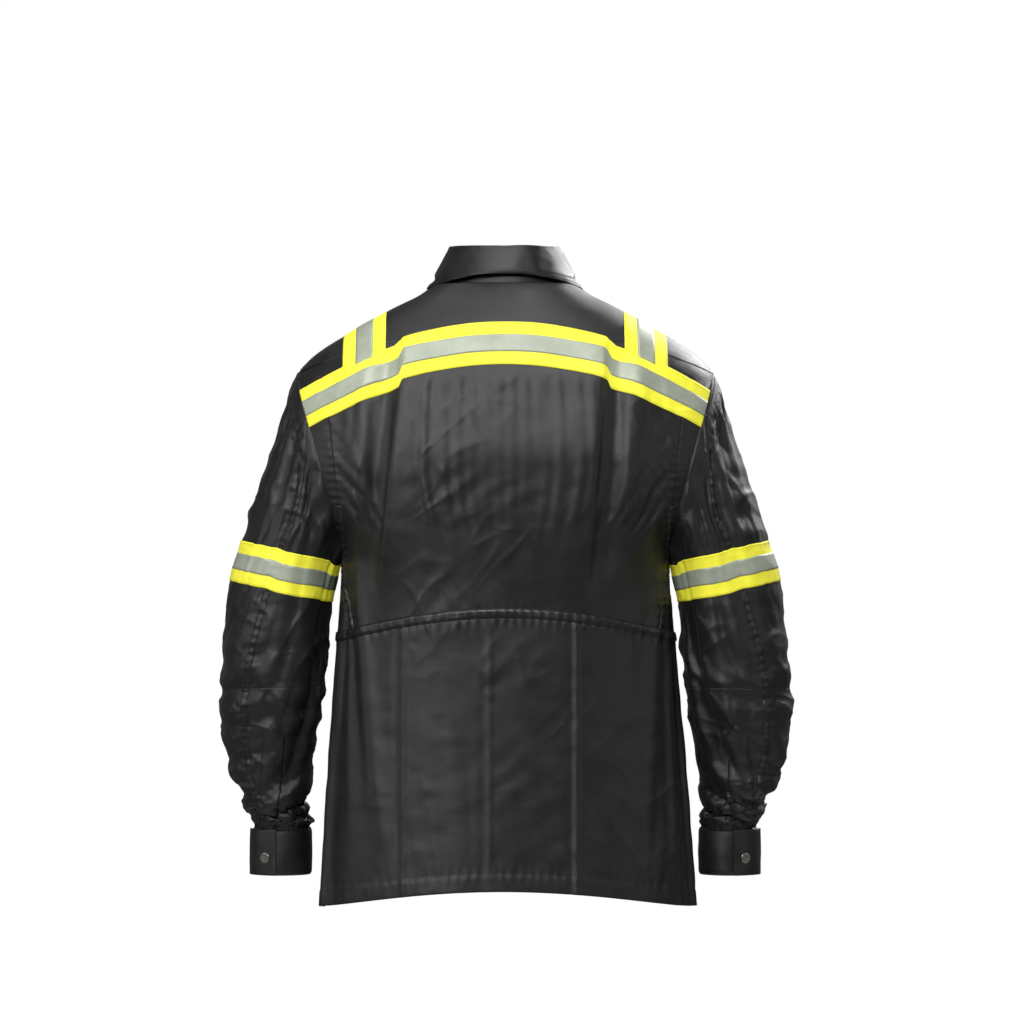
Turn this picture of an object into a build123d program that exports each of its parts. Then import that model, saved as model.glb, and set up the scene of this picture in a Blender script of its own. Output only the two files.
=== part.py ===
"""A lightweight high-visibility work coat, shaped as it hangs on the body.

The frame is +Z up, the coat's front faces -Y and its left side is at +X.
The origin is the centre of the neck seam. Heights in the tables below are
measured up from the hem, and z_of() turns them into the frame.
"""
import math
import os

from build123d import *

# ---- driving dimensions, millimetres ---------------------------------------
NECK_HEIGHT = 730.0  # hem to neck seam
WALL = 2.5  # thickness that stands for the cloth
ROUNDNESS = 2.6  # superellipse exponent of the body's section
SHOULDER_HEIGHT = 600.0  # above this the cloth slopes in towards the neck
SIDE_SEAM = 10.0  # the side and shoulder seams lie this far in front of the middle
FRONT_AT_HEM = 138.0  # distance from the middle to the straight centre-front line
FRONT_AT_NECK = 78.0
REACH = 400.0  # longer than any cut has to be

TAPE_WIDTH = 50.0
TAPE_THICK = 1.2
SILVER_WIDTH = 20.0
SILVER_THICK = 0.7
BRACE_X = 164.0  # middle of the shoulder tapes
CHEST_TAPE_LOW = 520.0

PANEL_EDGE = 15.0  # the front panels end this far from the centre-front line
ZIP_LOW = 14.0  # up the centre-front line from the hem
ZIP_HIGH = 716.0
TOOTH_PITCH = 6.0

ARM_LOW = (190.0, 420.0)  # the armhole plane's lowest point: x, height
ARM_HIGH = (245.0, 625.0)
ARM_GAP = 1.0
UNDERARM_CLEAR = 199.5  # below the armhole, the sleeve keeps this far from the body's middle
UNDERARM_TOP = ARM_LOW[1] - 0.8
ELBOW_HEIGHT = 240.0
ELBOW_GAP = 1.5
CUFF_X = 264.0
CUFF_Y = -20.0
CUFF_RX = 35.0
CUFF_RY = 38.0
CUFF_TOP = 88.0
CUFF_HEIGHT = 55.0
CUFF_WALL = 3.0
TAB_START = 15.0  # degrees round the cuff from its outer side towards the back
TAB_END = 82.0
SNAP_ANGLE = 62.0
SNAP_RADIUS = 6.25
STUD_RADIUS = 2.2

POCKET_X = (42.0, 152.0)
POCKET_LOW = 330.0
POCKET_TOP = 474.0
FLAP_LOW = 462.0
FLAP_TOP = 508.0

# Body sections: height, half width, depth behind the middle.
BODY = [
    (0, 222, 136),
    (100, 219, 132),
    (220, 208, 127),
    (343, 198, 124),
    (400, 191, 128),
    (430, 200, 132),
    (470, 240, 137),
    (520, 259, 138),
    (575, 256, 130),
    (620, 246, 116),
    (642, 228, 107),
    (670, 186, 95),
    (700, 133, 80),
    (718, 98, 69),
    (735, 77, 60),
]

# Sleeve sections: height, inner x, outer x, half depth, middle y.
SLEEVE = [
    (628, 226, 243, 22, 0),
    (610, 200, 251, 45, 0),
    (570, 175, 268, 68, 0),
    (520, 160, 288, 85, 0),
    (470, 165, 303, 87, 0),
    (430, 185, 315, 84, 0),
    (395, 199, 327, 80, 2),
    (310, 214, 335, 74, 5),
    (240, 221, 339, 68, 4),
    (180, 233, 332, 57, -4),
    (130, 237, 312, 47, -12),
    (88, 229, 299, 41, -18),
]


def z_of(height):
    return height - NECK_HEIGHT


def front_depth(height):
    """Distance of the straight centre-front line from the middle."""
    slope = (FRONT_AT_NECK - FRONT_AT_HEM) / NECK_HEIGHT
    return FRONT_AT_HEM + slope * height


def power(value, exponent):
    return math.copysign(abs(value) ** exponent, value)


def body_ring(half_width, back, front, grow):
    """Points round one body section, grown outwards by grow."""
    points = []
    for step in range(20):
        angle = math.radians(18 * step)
        depth = back if math.sin(angle) > 0 else front
        x = (half_width + grow) * power(math.cos(angle), 2 / ROUNDNESS)
        y = (depth + grow) * power(math.sin(angle), 2 / ROUNDNESS)
        points.append((x, y))
    return points


def body_form(grow):
    """The solid form of the body, grown outwards, and upwards over the shoulders."""
    with BuildPart() as form:
        for height, half_width, back in BODY:
            rise = grow if height >= SHOULDER_HEIGHT else 0.0
            with BuildSketch(Plane.XY.offset(z_of(height) + rise)):
                with BuildLine():
                    ring = body_ring(half_width, back, front_depth(height), grow)
                    Spline(*ring, periodic=True)
                make_face()
        loft(ruled=True)
    return form.part


def sleeve_form(side, grow):
    """The solid form of one sleeve, on side +1 (left) or -1 (right)."""
    with BuildPart() as form:
        for height, inner, outer, half_depth, middle in SLEEVE:
            rise = grow if height >= SHOULDER_HEIGHT else 0.0
            plane = Plane((side * (inner + outer) / 2, middle, z_of(height) + rise))
            with BuildSketch(plane):
                Ellipse((outer - inner) / 2 + grow, half_depth + grow)
        loft(ruled=True)
    return form.part


def outline(points):
    """A face with straight edges."""
    with BuildSketch() as face:
        with BuildLine():
            Polyline(*points, close=True)
        make_face()
    return face.sketch


def arched_band(half, top_middle, top_end, bottom_middle, bottom_end):
    """A face between two arches, as wide as 2 * half."""
    corners = [(-half, z_of(top_end)), (half, z_of(top_end)),
               (half, z_of(bottom_end)), (-half, z_of(bottom_end))]
    with BuildSketch() as face:
        with BuildLine():
            ThreePointArc(corners[0], (0, z_of(top_middle)), corners[1])
            Line(corners[1], corners[2])
            ThreePointArc(corners[2], (0, z_of(bottom_middle)), corners[3])
            Line(corners[3], corners[0])
        make_face()
    return face.sketch


def rectangle(x_low, x_high, low, high):
    """A face between two x and two heights."""
    return outline([(x_low, z_of(low)), (x_high, z_of(low)), (x_high, z_of(high)), (x_low, z_of(high))])


def arm_x(height):
    """x of the armhole plane at a height."""
    (x_low, low), (x_high, high) = ARM_LOW, ARM_HIGH
    return x_low + (height - low) * (x_high - x_low) / (high - low)


def outside_armhole(side, gap):
    """A face that covers everything outside the armhole plane."""
    low = ARM_LOW[1] - 1
    high = ARM_HIGH[1] + 75
    return outline([(side * (arm_x(low) + gap), z_of(low)), (side * REACH, z_of(low)),
                    (side * REACH, z_of(high)), (side * (arm_x(high) + gap), z_of(high))])


def save(builder, label):
    builder.part.label = label
    export_step(builder.part, f"parts/{label}.step")


os.makedirs("parts", exist_ok=True)
SEAM_PLANE = Plane.XZ.offset(SIDE_SEAM)  # faces the front: extruding forwards is positive
BACKWARDS = -REACH
FORWARDS = REACH
SIDES = (("left", 1), ("right", -1))

body_skin = body_form(0)

# ---- body shell, open at hem, neck and armholes ------------------------------
with BuildPart() as shell:
    add(body_skin)
    add(body_form(-WALL), mode=Mode.SUBTRACT)
    with BuildSketch(Plane.XY.offset(z_of(NECK_HEIGHT))):
        Rectangle(REACH, REACH)
    extrude(amount=30, mode=Mode.SUBTRACT)
    for _, side in SIDES:
        with BuildSketch(Plane.XZ):
            add(outside_armhole(side, 0))
        extrude(amount=REACH, both=True, mode=Mode.SUBTRACT)


def over_body(low, high):
    """A skin that lies over the body, from low to high off its surface."""
    with BuildPart() as skin:
        add(body_form(high))
        add(body_form(low) if low else body_skin, mode=Mode.SUBTRACT)
        with BuildSketch(Plane.XY.offset(z_of(NECK_HEIGHT - 6))):
            Rectangle(2 * REACH, REACH)
        extrude(amount=40, mode=Mode.SUBTRACT)
        for _, side in SIDES:
            with BuildSketch(Plane.XZ):
                add(outside_armhole(side, 0))
            extrude(amount=REACH, both=True, mode=Mode.SUBTRACT)
    return skin.part


# ---- back and front panels -----------------------------------------------------
with BuildPart() as back_yoke:
    add(shell.part)
    with BuildSketch(SEAM_PLANE):
        add(arched_band(300, 830, 820, 657, 560))
    extrude(amount=BACKWARDS, mode=Mode.INTERSECT)
save(back_yoke, "back_yoke")

SIDE_BACK_SEAM = [(214, 640), (195, 475), (189, 393), (174, 290)]

with BuildPart() as back_middle:
    add(shell.part)
    with BuildSketch(SEAM_PLANE):
        add(arched_band(300, 657, 560, 343, 270))
    extrude(amount=BACKWARDS, mode=Mode.INTERSECT)

with BuildPart() as back_upper_panel:
    add(back_middle.part)
    with BuildSketch(SEAM_PLANE):
        left_edge = [(x, z_of(height)) for x, height in SIDE_BACK_SEAM]
        right_edge = [(-x, z) for x, z in reversed(left_edge)]
        add(outline([(214, z_of(700))] + left_edge + [(174, z_of(250)), (-174, z_of(250))]
                + right_edge + [(-214, z_of(700))]))
    extrude(amount=BACKWARDS, mode=Mode.INTERSECT)
save(back_upper_panel, "back_upper_panel")

for name, side in SIDES:
    with BuildPart() as back_side_panel:
        add(back_middle.part)
        with BuildSketch(SEAM_PLANE):
            edge = [(side * x, z_of(height)) for x, height in SIDE_BACK_SEAM]
            add(outline([(side * 214, z_of(700))] + edge
                    + [(side * 174, z_of(250)), (side * REACH, z_of(250)),
                       (side * REACH, z_of(700))]))
        extrude(amount=BACKWARDS, mode=Mode.INTERSECT)
    save(back_side_panel, f"{name}_back_side_panel")

with BuildPart() as back_lower_panel:
    add(shell.part)
    with BuildSketch(SEAM_PLANE):
        add(arched_band(300, 343, 270, -20, -20.1))
    extrude(amount=BACKWARDS, mode=Mode.INTERSECT)
save(back_lower_panel, "back_lower_panel")

for name, side in SIDES:
    with BuildPart() as front_panel:
        add(shell.part)
        with BuildSketch(SEAM_PLANE):
            add(rectangle(*sorted((side * PANEL_EDGE, side * REACH)), -20, 760))
        extrude(amount=FORWARDS, mode=Mode.INTERSECT)
    save(front_panel, f"{name}_front_panel")

# ---- waist casing and reflective tapes ---------------------------------------
first_layer = over_body(0, TAPE_THICK)
second_layer = over_body(TAPE_THICK, TAPE_THICK + SILVER_THICK)
TAPE_MARGIN = (TAPE_WIDTH - SILVER_WIDTH) / 2
BACK_TAPE = (300, 682, 568)  # half width, height of its top edge at the middle and the ends
BRACE_EDGES = (BRACE_X - TAPE_WIDTH / 2, BRACE_X + TAPE_WIDTH / 2)
BRACE_SILVER = (BRACE_X - SILVER_WIDTH / 2, BRACE_X + SILVER_WIDTH / 2)

with BuildPart() as waist_casing:
    add(first_layer)
    with BuildSketch(SEAM_PLANE):
        add(arched_band(300, 350, 277, 338, 265))
    extrude(amount=BACKWARDS, mode=Mode.INTERSECT)
save(waist_casing, "waist_casing")


def back_tape_band(inset):
    half, middle, end = BACK_TAPE
    width = TAPE_WIDTH - 2 * inset
    top = middle - inset
    return arched_band(half, top, end - inset, top - width, end - inset - width)


with BuildPart() as back_tape:
    add(first_layer)
    with BuildSketch(SEAM_PLANE):
        add(back_tape_band(0))
    extrude(amount=BACKWARDS, mode=Mode.INTERSECT)
save(back_tape, "back_tape")

with BuildPart() as back_silver_strip:
    add(second_layer)
    with BuildSketch(SEAM_PLANE):
        add(back_tape_band(TAPE_MARGIN))
    extrude(amount=BACKWARDS, mode=Mode.INTERSECT)
save(back_silver_strip, "back_silver_strip")


def brace(layer, edges, side):
    """A strip over one shoulder, from the back tape to the chest tape."""
    x_low, x_high = sorted((side * edges[0], side * edges[1]))
    with BuildPart() as strip:
        add(layer)
        with BuildSketch(SEAM_PLANE):
            add(rectangle(x_low, x_high, 480, 760))
        extrude(amount=REACH, both=True, mode=Mode.INTERSECT)
        with BuildSketch(SEAM_PLANE):
            half, middle, end = BACK_TAPE
            add(arched_band(half, middle, end, 300, 290))
        extrude(amount=BACKWARDS, mode=Mode.SUBTRACT)
        with BuildSketch(SEAM_PLANE):
            add(rectangle(-REACH, REACH, 300, CHEST_TAPE_LOW + TAPE_WIDTH))
        extrude(amount=FORWARDS, mode=Mode.SUBTRACT)
    return strip


for name, side in SIDES:
    save(brace(first_layer, BRACE_EDGES, side), f"{name}_brace_tape")
    save(brace(second_layer, BRACE_SILVER, side), f"{name}_brace_silver_strip")
    chest_x = sorted((side * (PANEL_EDGE + 4), side * REACH))
    with BuildPart() as chest_tape:
        add(first_layer)
        with BuildSketch(SEAM_PLANE):
            add(rectangle(*chest_x, CHEST_TAPE_LOW, CHEST_TAPE_LOW + TAPE_WIDTH))
        extrude(amount=FORWARDS, mode=Mode.INTERSECT)
    save(chest_tape, f"{name}_chest_tape")
    with BuildPart() as chest_silver_strip:
        add(second_layer)
        with BuildSketch(SEAM_PLANE):
            silver_low = CHEST_TAPE_LOW + TAPE_MARGIN
            add(rectangle(*chest_x, silver_low, silver_low + SILVER_WIDTH))
        extrude(amount=FORWARDS, mode=Mode.INTERSECT)
    save(chest_silver_strip, f"{name}_chest_silver_strip")

# ---- collar: a stand, and a leaf folded down over it --------------------------
STAND_TOP = 771.5
LEAF_TOP = 774.0
LEAF_LOW = 729.0


def collar_form(low, high, bottom, top):
    """A cone between two ellipses: each is half width, half depth, middle y."""
    with BuildPart() as form:
        for height, (half_width, half_depth, middle) in ((low, bottom), (high, top)):
            with BuildSketch(Plane((0, middle, z_of(height)))):
                Ellipse(half_width, half_depth)
        loft()
    return form.part


with BuildPart() as collar_stand:
    add(collar_form(NECK_HEIGHT, STAND_TOP, (80, 70, -8), (65, 57, -4)))
    add(collar_form(NECK_HEIGHT - 1, STAND_TOP + 1, (77.5, 67.5, -8), (62.5, 54.5, -4)),
        mode=Mode.SUBTRACT)
    with BuildSketch(SEAM_PLANE):
        add(rectangle(-4, 4, 700, 800))
    extrude(amount=FORWARDS, mode=Mode.SUBTRACT)
save(collar_stand, "collar_stand")

with BuildPart() as collar_leaf:
    add(collar_form(LEAF_LOW, LEAF_TOP, (95, 86, -9), (69, 61, -4)))
    add(collar_form(LEAF_LOW - 2.5, STAND_TOP, (92.5, 83.5, -9), (66.5, 58.5, -4)),
        mode=Mode.SUBTRACT)
    with BuildSketch(Plane((0, -4, z_of(700)))):
        Ellipse(62.5, 54.5)
    extrude(amount=100, mode=Mode.SUBTRACT)
    with BuildSketch(SEAM_PLANE):
        add(arched_band(120, 747, 726, 640, 630))
    extrude(amount=BACKWARDS, mode=Mode.SUBTRACT)
    with BuildSketch(SEAM_PLANE):
        add(outline([(-6, z_of(790)), (-26, z_of(700)), (26, z_of(700)), (6, z_of(790))]))
    extrude(amount=FORWARDS, mode=Mode.SUBTRACT)
save(collar_leaf, "collar_leaf")

LOOP_Y = 46.0
with BuildPart() as hanger_loop:
    with BuildSketch(Plane.XZ.offset(-LOOP_Y)):
        with Locations((0, z_of(752))):
            SlotOverall(64, 22)
            SlotOverall(52, 10, mode=Mode.SUBTRACT)
    extrude(amount=-1.6)
save(hanger_loop, "hanger_loop")

# ---- zip on the straight centre-front line ------------------------------------
tilt = math.atan2(FRONT_AT_HEM - FRONT_AT_NECK, NECK_HEIGHT)
UP_FRONT = (0.0, math.sin(tilt), math.cos(tilt))
FRONT = Plane(
    origin=(0, -FRONT_AT_HEM, z_of(0)),
    x_dir=(1, 0, 0),
    z_dir=(0, -math.cos(tilt), math.sin(tilt)),
)  # its x is the coat's x, its y runs up the centre-front line, its z points forwards
ZIP_MIDDLE = (ZIP_LOW + ZIP_HIGH) / 2
ZIP_LENGTH = ZIP_HIGH - ZIP_LOW
TAPE_EDGE = 0.5
TEETH_BASE = -1.0

for name, side in SIDES:
    with BuildPart() as zip_tape:
        with BuildSketch(FRONT.offset(-2)):
            with Locations((side * (TAPE_EDGE + PANEL_EDGE) / 2, ZIP_MIDDLE)):
                Rectangle(PANEL_EDGE - TAPE_EDGE, ZIP_LENGTH)
        extrude(amount=1)
    save(zip_tape, f"zip_tape_{name}")
    with BuildPart() as zip_teeth:
        with BuildSketch(FRONT.offset(TEETH_BASE)):
            with Locations((side * 2.8, ZIP_MIDDLE)):
                Rectangle(1.2, ZIP_LENGTH - 24)
            shift = side * TOOTH_PITCH / 4
            count = int((ZIP_LENGTH - 36) / TOOTH_PITCH)
            with Locations((side * 0.6, ZIP_MIDDLE + shift)):
                with GridLocations(1, TOOTH_PITCH, 1, count):
                    Rectangle(4.4, 2.5)
        extrude(amount=2.4)
    save(zip_teeth, f"zip_teeth_{name}")

with BuildPart() as zip_stops:
    with BuildSketch(FRONT.offset(TEETH_BASE)):
        for across in (-3, 3):
            with Locations((across, ZIP_HIGH - 4)):
                Rectangle(3.4, 6)
        with Locations((0, ZIP_LOW + 4)):
            Rectangle(9.4, 7)
    extrude(amount=2.8)
save(zip_stops, "zip_stops")

SLIDER_AT = 694.0  # the middle of the slider, up the centre-front line
SLIDER_LENGTH = 15.0
PULL_PIVOT = 6.4  # how far the pull's pivot stands in front of the line
with BuildPart() as zip_slider:
    with BuildSketch(FRONT.offset(1.9)):
        with Locations((0, SLIDER_AT)):
            SlotOverall(SLIDER_LENGTH, 11, rotation=90)
    extrude(amount=1.7)
    with BuildSketch(FRONT.offset(-0.5)):
        for across in (-4.7, 4.7):
            with Locations((across, SLIDER_AT)):
                Rectangle(1.4, SLIDER_LENGTH - 6)
    extrude(amount=3)
    with BuildSketch(FRONT.offset(3.6)):
        for across in (-3.7, 3.7):
            with Locations((across, SLIDER_AT)):
                Rectangle(1.4, 5)
    extrude(amount=4.4)
save(zip_slider, "zip_slider")

with BuildPart() as zip_pull:
    with BuildSketch(FRONT.offset(PULL_PIVOT - 0.8)):
        with Locations((0, SLIDER_AT - 14)):
            RectangleRounded(5.2, 32, 2)
        with Locations((0, SLIDER_AT - 26)):
            SlotOverall(11, 2.6, rotation=90, mode=Mode.SUBTRACT)
    extrude(amount=1.6)
save(zip_pull, "zip_pull")

# ---- chest pockets ----------------------------------------------------------------
FLAP_LIFT = 3.2  # inner face of a flap, off the body
FLAP_THICK = 1.8
pocket_layer = over_body(0, 1.8)
flap_layer = over_body(FLAP_LIFT, FLAP_LIFT + FLAP_THICK)


def body_width(height):
    for (low, w_low, _), (high, w_high, _) in zip(BODY, BODY[1:]):
        if low <= height <= high:
            return w_low + (w_high - w_low) * (height - low) / (high - low)
    return 0.0


def front_y(x, height, grow):
    """y of the front surface, grown by grow, at x and a height."""
    ratio = abs(x) / (body_width(height) + grow)
    return -(front_depth(height) + grow) * (1 - ratio**ROUNDNESS) ** (1 / ROUNDNESS)


def front_plane_at(x, height, grow):
    """A plane on the front surface, facing away from the body."""
    step = 2.0
    y = front_y(x, height, grow)
    across = Vector(2 * step, front_y(x + step, height, grow) - front_y(x - step, height, grow), 0)
    up = Vector(0, front_y(x, height + step, grow) - front_y(x, height - step, grow), 2 * step)
    return Plane((x, y, z_of(height)), x_dir=across, z_dir=across.cross(up))


for name, side in SIDES:
    pocket_x = sorted(side * x for x in POCKET_X)
    flap_x = (pocket_x[0] - 3, pocket_x[1] + 3)
    middle = sum(pocket_x) / 2
    with BuildPart() as pocket:
        add(pocket_layer)
        with BuildSketch(SEAM_PLANE):
            low = z_of(POCKET_LOW)
            top = z_of(POCKET_TOP)
            left, right = pocket_x
            add(outline([(left, top), (left, low + 14), (left + 14, low), (right - 14, low),
                     (right, low + 14), (right, top)]))
        extrude(amount=FORWARDS, mode=Mode.INTERSECT)
    save(pocket, f"{name}_pocket")
    with BuildPart() as pocket_flap:
        add(flap_layer)
        with BuildSketch(SEAM_PLANE):
            low = z_of(FLAP_LOW)
            top = z_of(FLAP_TOP)
            add(outline([(flap_x[0], top), (flap_x[0], low + 12), (middle, low), (flap_x[1], low + 12),
                     (flap_x[1], top)]))
        extrude(amount=FORWARDS, mode=Mode.INTERSECT)
    save(pocket_flap, f"{name}_pocket_flap")
    with BuildPart() as pocket_flap_snap:
        with BuildSketch(front_plane_at(middle, FLAP_LOW + 12, FLAP_LIFT + FLAP_THICK - 0.1)):
            Circle(SNAP_RADIUS)
        extrude(amount=2)
        fillet(pocket_flap_snap.faces().sort_by(Axis.Y)[0].edges(), 0.8)
    save(pocket_flap_snap, f"{name}_pocket_flap_snap")
    ends = [front_y(x, FLAP_TOP, FLAP_LIFT + FLAP_THICK) for x in flap_x]
    bulge = front_y(middle, FLAP_TOP, FLAP_LIFT + FLAP_THICK)
    length = math.hypot(flap_x[1] - flap_x[0], ends[1] - ends[0])
    print(name, "flap hinge through", (middle, round(bulge, 2), z_of(FLAP_TOP)), "along",
          (round((flap_x[1] - flap_x[0]) / length, 4), round((ends[1] - ends[0]) / length, 4), 0))

# ---- sleeves ---------------------------------------------------------------------
ARM_BAND = 397.0  # height of the band's middle at x = ARM_BAND_X
ARM_BAND_X = 264.0
ARM_BAND_RISE = 0.25  # outwards, the band rises this much per unit
SLEEVE_SPLIT = 14.0  # the back seam runs this far outside the sleeve's middle line
CUFF_LOW = CUFF_TOP - CUFF_HEIGHT
TAB_LIFT = 2.2  # inner face of the tab, off the cuff
TAB_THICK = 2.0


def sleeve_middle(height):
    """x of the middle of the sleeve at a height, on the left side."""
    for (high, in_high, out_high, _, _), (low, in_low, out_low, _, _) in zip(SLEEVE, SLEEVE[1:]):
        if low <= height <= high:
            part = (height - low) / (high - low)
            return (in_low + out_low + part * (in_high + out_high - in_low - out_low)) / 2
    return CUFF_X


def slanted_band(side, width):
    """A face across the upper arm, as tall as width."""
    ends = []
    for x in (ARM_BAND_X - 110, ARM_BAND_X + 110):
        middle = ARM_BAND + ARM_BAND_RISE * (x - ARM_BAND_X)
        ends.append((side * x, z_of(middle)))
    (x0, z0), (x1, z1) = ends
    half = width / 2
    return outline([(x0, z0 - half), (x1, z1 - half), (x1, z1 + half), (x0, z0 + half)])


def outer_half(side, low, high):
    """A face that covers the sleeve outside its back seam."""
    middle = [(height, sleeve_middle(height)) for height in (high, (low + high) / 2, low)]
    edge = [(side * (x + SLEEVE_SPLIT), z_of(height)) for height, x in middle]
    return outline(edge + [(side * REACH, z_of(low)), (side * REACH, z_of(high))])


def cuff_point(side, angle, lift):
    """A point on the cuff's ellipse, grown by lift."""
    turn = math.radians(angle)
    return (side * (CUFF_X + (CUFF_RX + lift) * math.cos(turn)),
            CUFF_Y + (CUFF_RY + lift) * math.sin(turn))


def cuff_snap_plane(side, lift, height):
    """A plane on the cuff at the snap, facing away from the wrist."""
    turn = math.radians(SNAP_ANGLE)
    x, y = cuff_point(side, SNAP_ANGLE, lift)
    normal = (side * math.cos(turn) / CUFF_RX, math.sin(turn) / CUFF_RY, 0)
    return Plane((x, y, z_of(height)), x_dir=(0, 0, 1), z_dir=normal)


for name, side in SIDES:
    sleeve_skin = sleeve_form(side, 0)
    with BuildPart() as sleeve_shell:
        add(sleeve_skin)
        add(sleeve_form(side, -WALL), mode=Mode.SUBTRACT)
        with BuildSketch(Plane.XY.offset(z_of(CUFF_TOP - 5))):
            with Locations((side * CUFF_X, 0)):
                Rectangle(REACH, REACH)
        extrude(amount=5, mode=Mode.SUBTRACT)
    with BuildPart() as upper:
        add(sleeve_shell.part)
        with BuildSketch(Plane.XZ):
            add(outside_armhole(side, ARM_GAP))
            add(rectangle(*sorted((side * UNDERARM_CLEAR, side * REACH)),
                          ELBOW_HEIGHT + ELBOW_GAP / 2, UNDERARM_TOP))
        extrude(amount=REACH, both=True, mode=Mode.INTERSECT)
    with BuildPart() as lower:
        add(sleeve_shell.part)
        with BuildSketch(Plane.XZ):
            add(rectangle(*sorted((side * 150, side * REACH)), CUFF_TOP, ELBOW_HEIGHT - ELBOW_GAP / 2))
        extrude(amount=REACH, both=True, mode=Mode.INTERSECT)
    for half, mode in (("outer", Mode.INTERSECT), ("under", Mode.SUBTRACT)):
        with BuildPart() as sleeve_upper:
            add(upper.part)
            with BuildSketch(Plane.XZ):
                add(outer_half(side, ELBOW_HEIGHT - 5, 628))
            extrude(amount=REACH, both=True, mode=mode)
        save(sleeve_upper, f"{name}_sleeve_upper_{half}")
        with BuildPart() as sleeve_lower:
            add(lower.part)
            with BuildSketch(Plane.XZ):
                add(outer_half(side, CUFF_TOP, ELBOW_HEIGHT + 5))
            extrude(amount=REACH, both=True, mode=mode)
        save(sleeve_lower, f"{name}_sleeve_lower_{half}")

    sleeve_first = sleeve_form(side, TAPE_THICK)
    with BuildPart() as arm_tape:
        add(sleeve_first)
        add(sleeve_skin, mode=Mode.SUBTRACT)
        with BuildSketch(Plane.XZ):
            add(slanted_band(side, TAPE_WIDTH))
        extrude(amount=REACH, both=True, mode=Mode.INTERSECT)
        with BuildSketch(Plane.XZ):
            add(rectangle(*sorted((0, side * ARM_LOW[0])), 300, 500))
        extrude(amount=REACH, both=True, mode=Mode.SUBTRACT)
    save(arm_tape, f"{name}_arm_tape")
    with BuildPart() as arm_silver_strip:
        add(sleeve_form(side, TAPE_THICK + SILVER_THICK))
        add(sleeve_first, mode=Mode.SUBTRACT)
        with BuildSketch(Plane.XZ):
            add(slanted_band(side, SILVER_WIDTH))
        extrude(amount=REACH, both=True, mode=Mode.INTERSECT)
    save(arm_silver_strip, f"{name}_arm_silver_strip")
    with BuildPart() as sleeve_placket:
        add(sleeve_first)
        add(sleeve_skin, mode=Mode.SUBTRACT)
        with BuildSketch(Plane.XZ):
            add(outline([(side * 262, z_of(206)), (side * 275, z_of(221)), (side * 289, z_of(207)),
                     (side * 296, z_of(CUFF_TOP)), (side * 270, z_of(CUFF_TOP))]))
        extrude(amount=BACKWARDS, mode=Mode.INTERSECT)
    save(sleeve_placket, f"{name}_sleeve_placket")

    cuff_plane = Plane((side * CUFF_X, CUFF_Y, z_of(CUFF_LOW)))
    with BuildPart() as cuff:
        with BuildSketch(cuff_plane):
            Ellipse(CUFF_RX, CUFF_RY)
            Ellipse(CUFF_RX - CUFF_WALL, CUFF_RY - CUFF_WALL, mode=Mode.SUBTRACT)
        extrude(amount=CUFF_HEIGHT)
    save(cuff, f"{name}_cuff")
    with BuildPart() as cuff_snap_stud:
        with BuildSketch(cuff_snap_plane(side, -0.1, CUFF_LOW + 21)):
            Circle(STUD_RADIUS)
        extrude(amount=TAB_LIFT - 0.4)
    save(cuff_snap_stud, f"{name}_cuff_snap_stud")
    with BuildPart() as cuff_tab:
        with BuildSketch(cuff_plane):
            Ellipse(CUFF_RX + TAB_LIFT + TAB_THICK, CUFF_RY + TAB_LIFT + TAB_THICK)
            Ellipse(CUFF_RX + TAB_LIFT, CUFF_RY + TAB_LIFT, mode=Mode.SUBTRACT)
            with BuildLine():
                spokes = [(0.0, 0.0)]
                for angle in (TAB_START, (TAB_START + TAB_END) / 2, TAB_END):
                    turn = math.radians(angle)
                    spokes.append((side * 90 * math.cos(turn), 90 * math.sin(turn)))
                Polyline(*spokes, close=True)
            make_face(mode=Mode.INTERSECT)
        extrude(amount=CUFF_HEIGHT)
    save(cuff_tab, f"{name}_cuff_tab")
    with BuildPart() as cuff_snap_cap:
        with BuildSketch(cuff_snap_plane(side, TAB_LIFT + TAB_THICK - 0.1, CUFF_LOW + 21)):
            Circle(SNAP_RADIUS)
        extrude(amount=2)
        fillet(cuff_snap_cap.faces().sort_by(Axis.Y)[-1].edges(), 0.8)
    save(cuff_snap_cap, f"{name}_cuff_snap_cap")
    hinge_x, hinge_y = cuff_point(side, TAB_START, TAB_LIFT)
    print(name, "tab hinge at", (round(hinge_x, 2), round(hinge_y, 2)))

pivot = FRONT.from_local_coords(Vector(0, SLIDER_AT, PULL_PIVOT))
print("zip direction", UP_FRONT, "pull pivot", pivot)
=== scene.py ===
"""Looks of the work coat: cloth panels, seams, tapes, collar and cuffs around the CAD frame.

Lengths in this script are millimetres, and heights are measured up from the hem,
until mesh_piece() turns both into the frame's metres.
"""

import math

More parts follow.
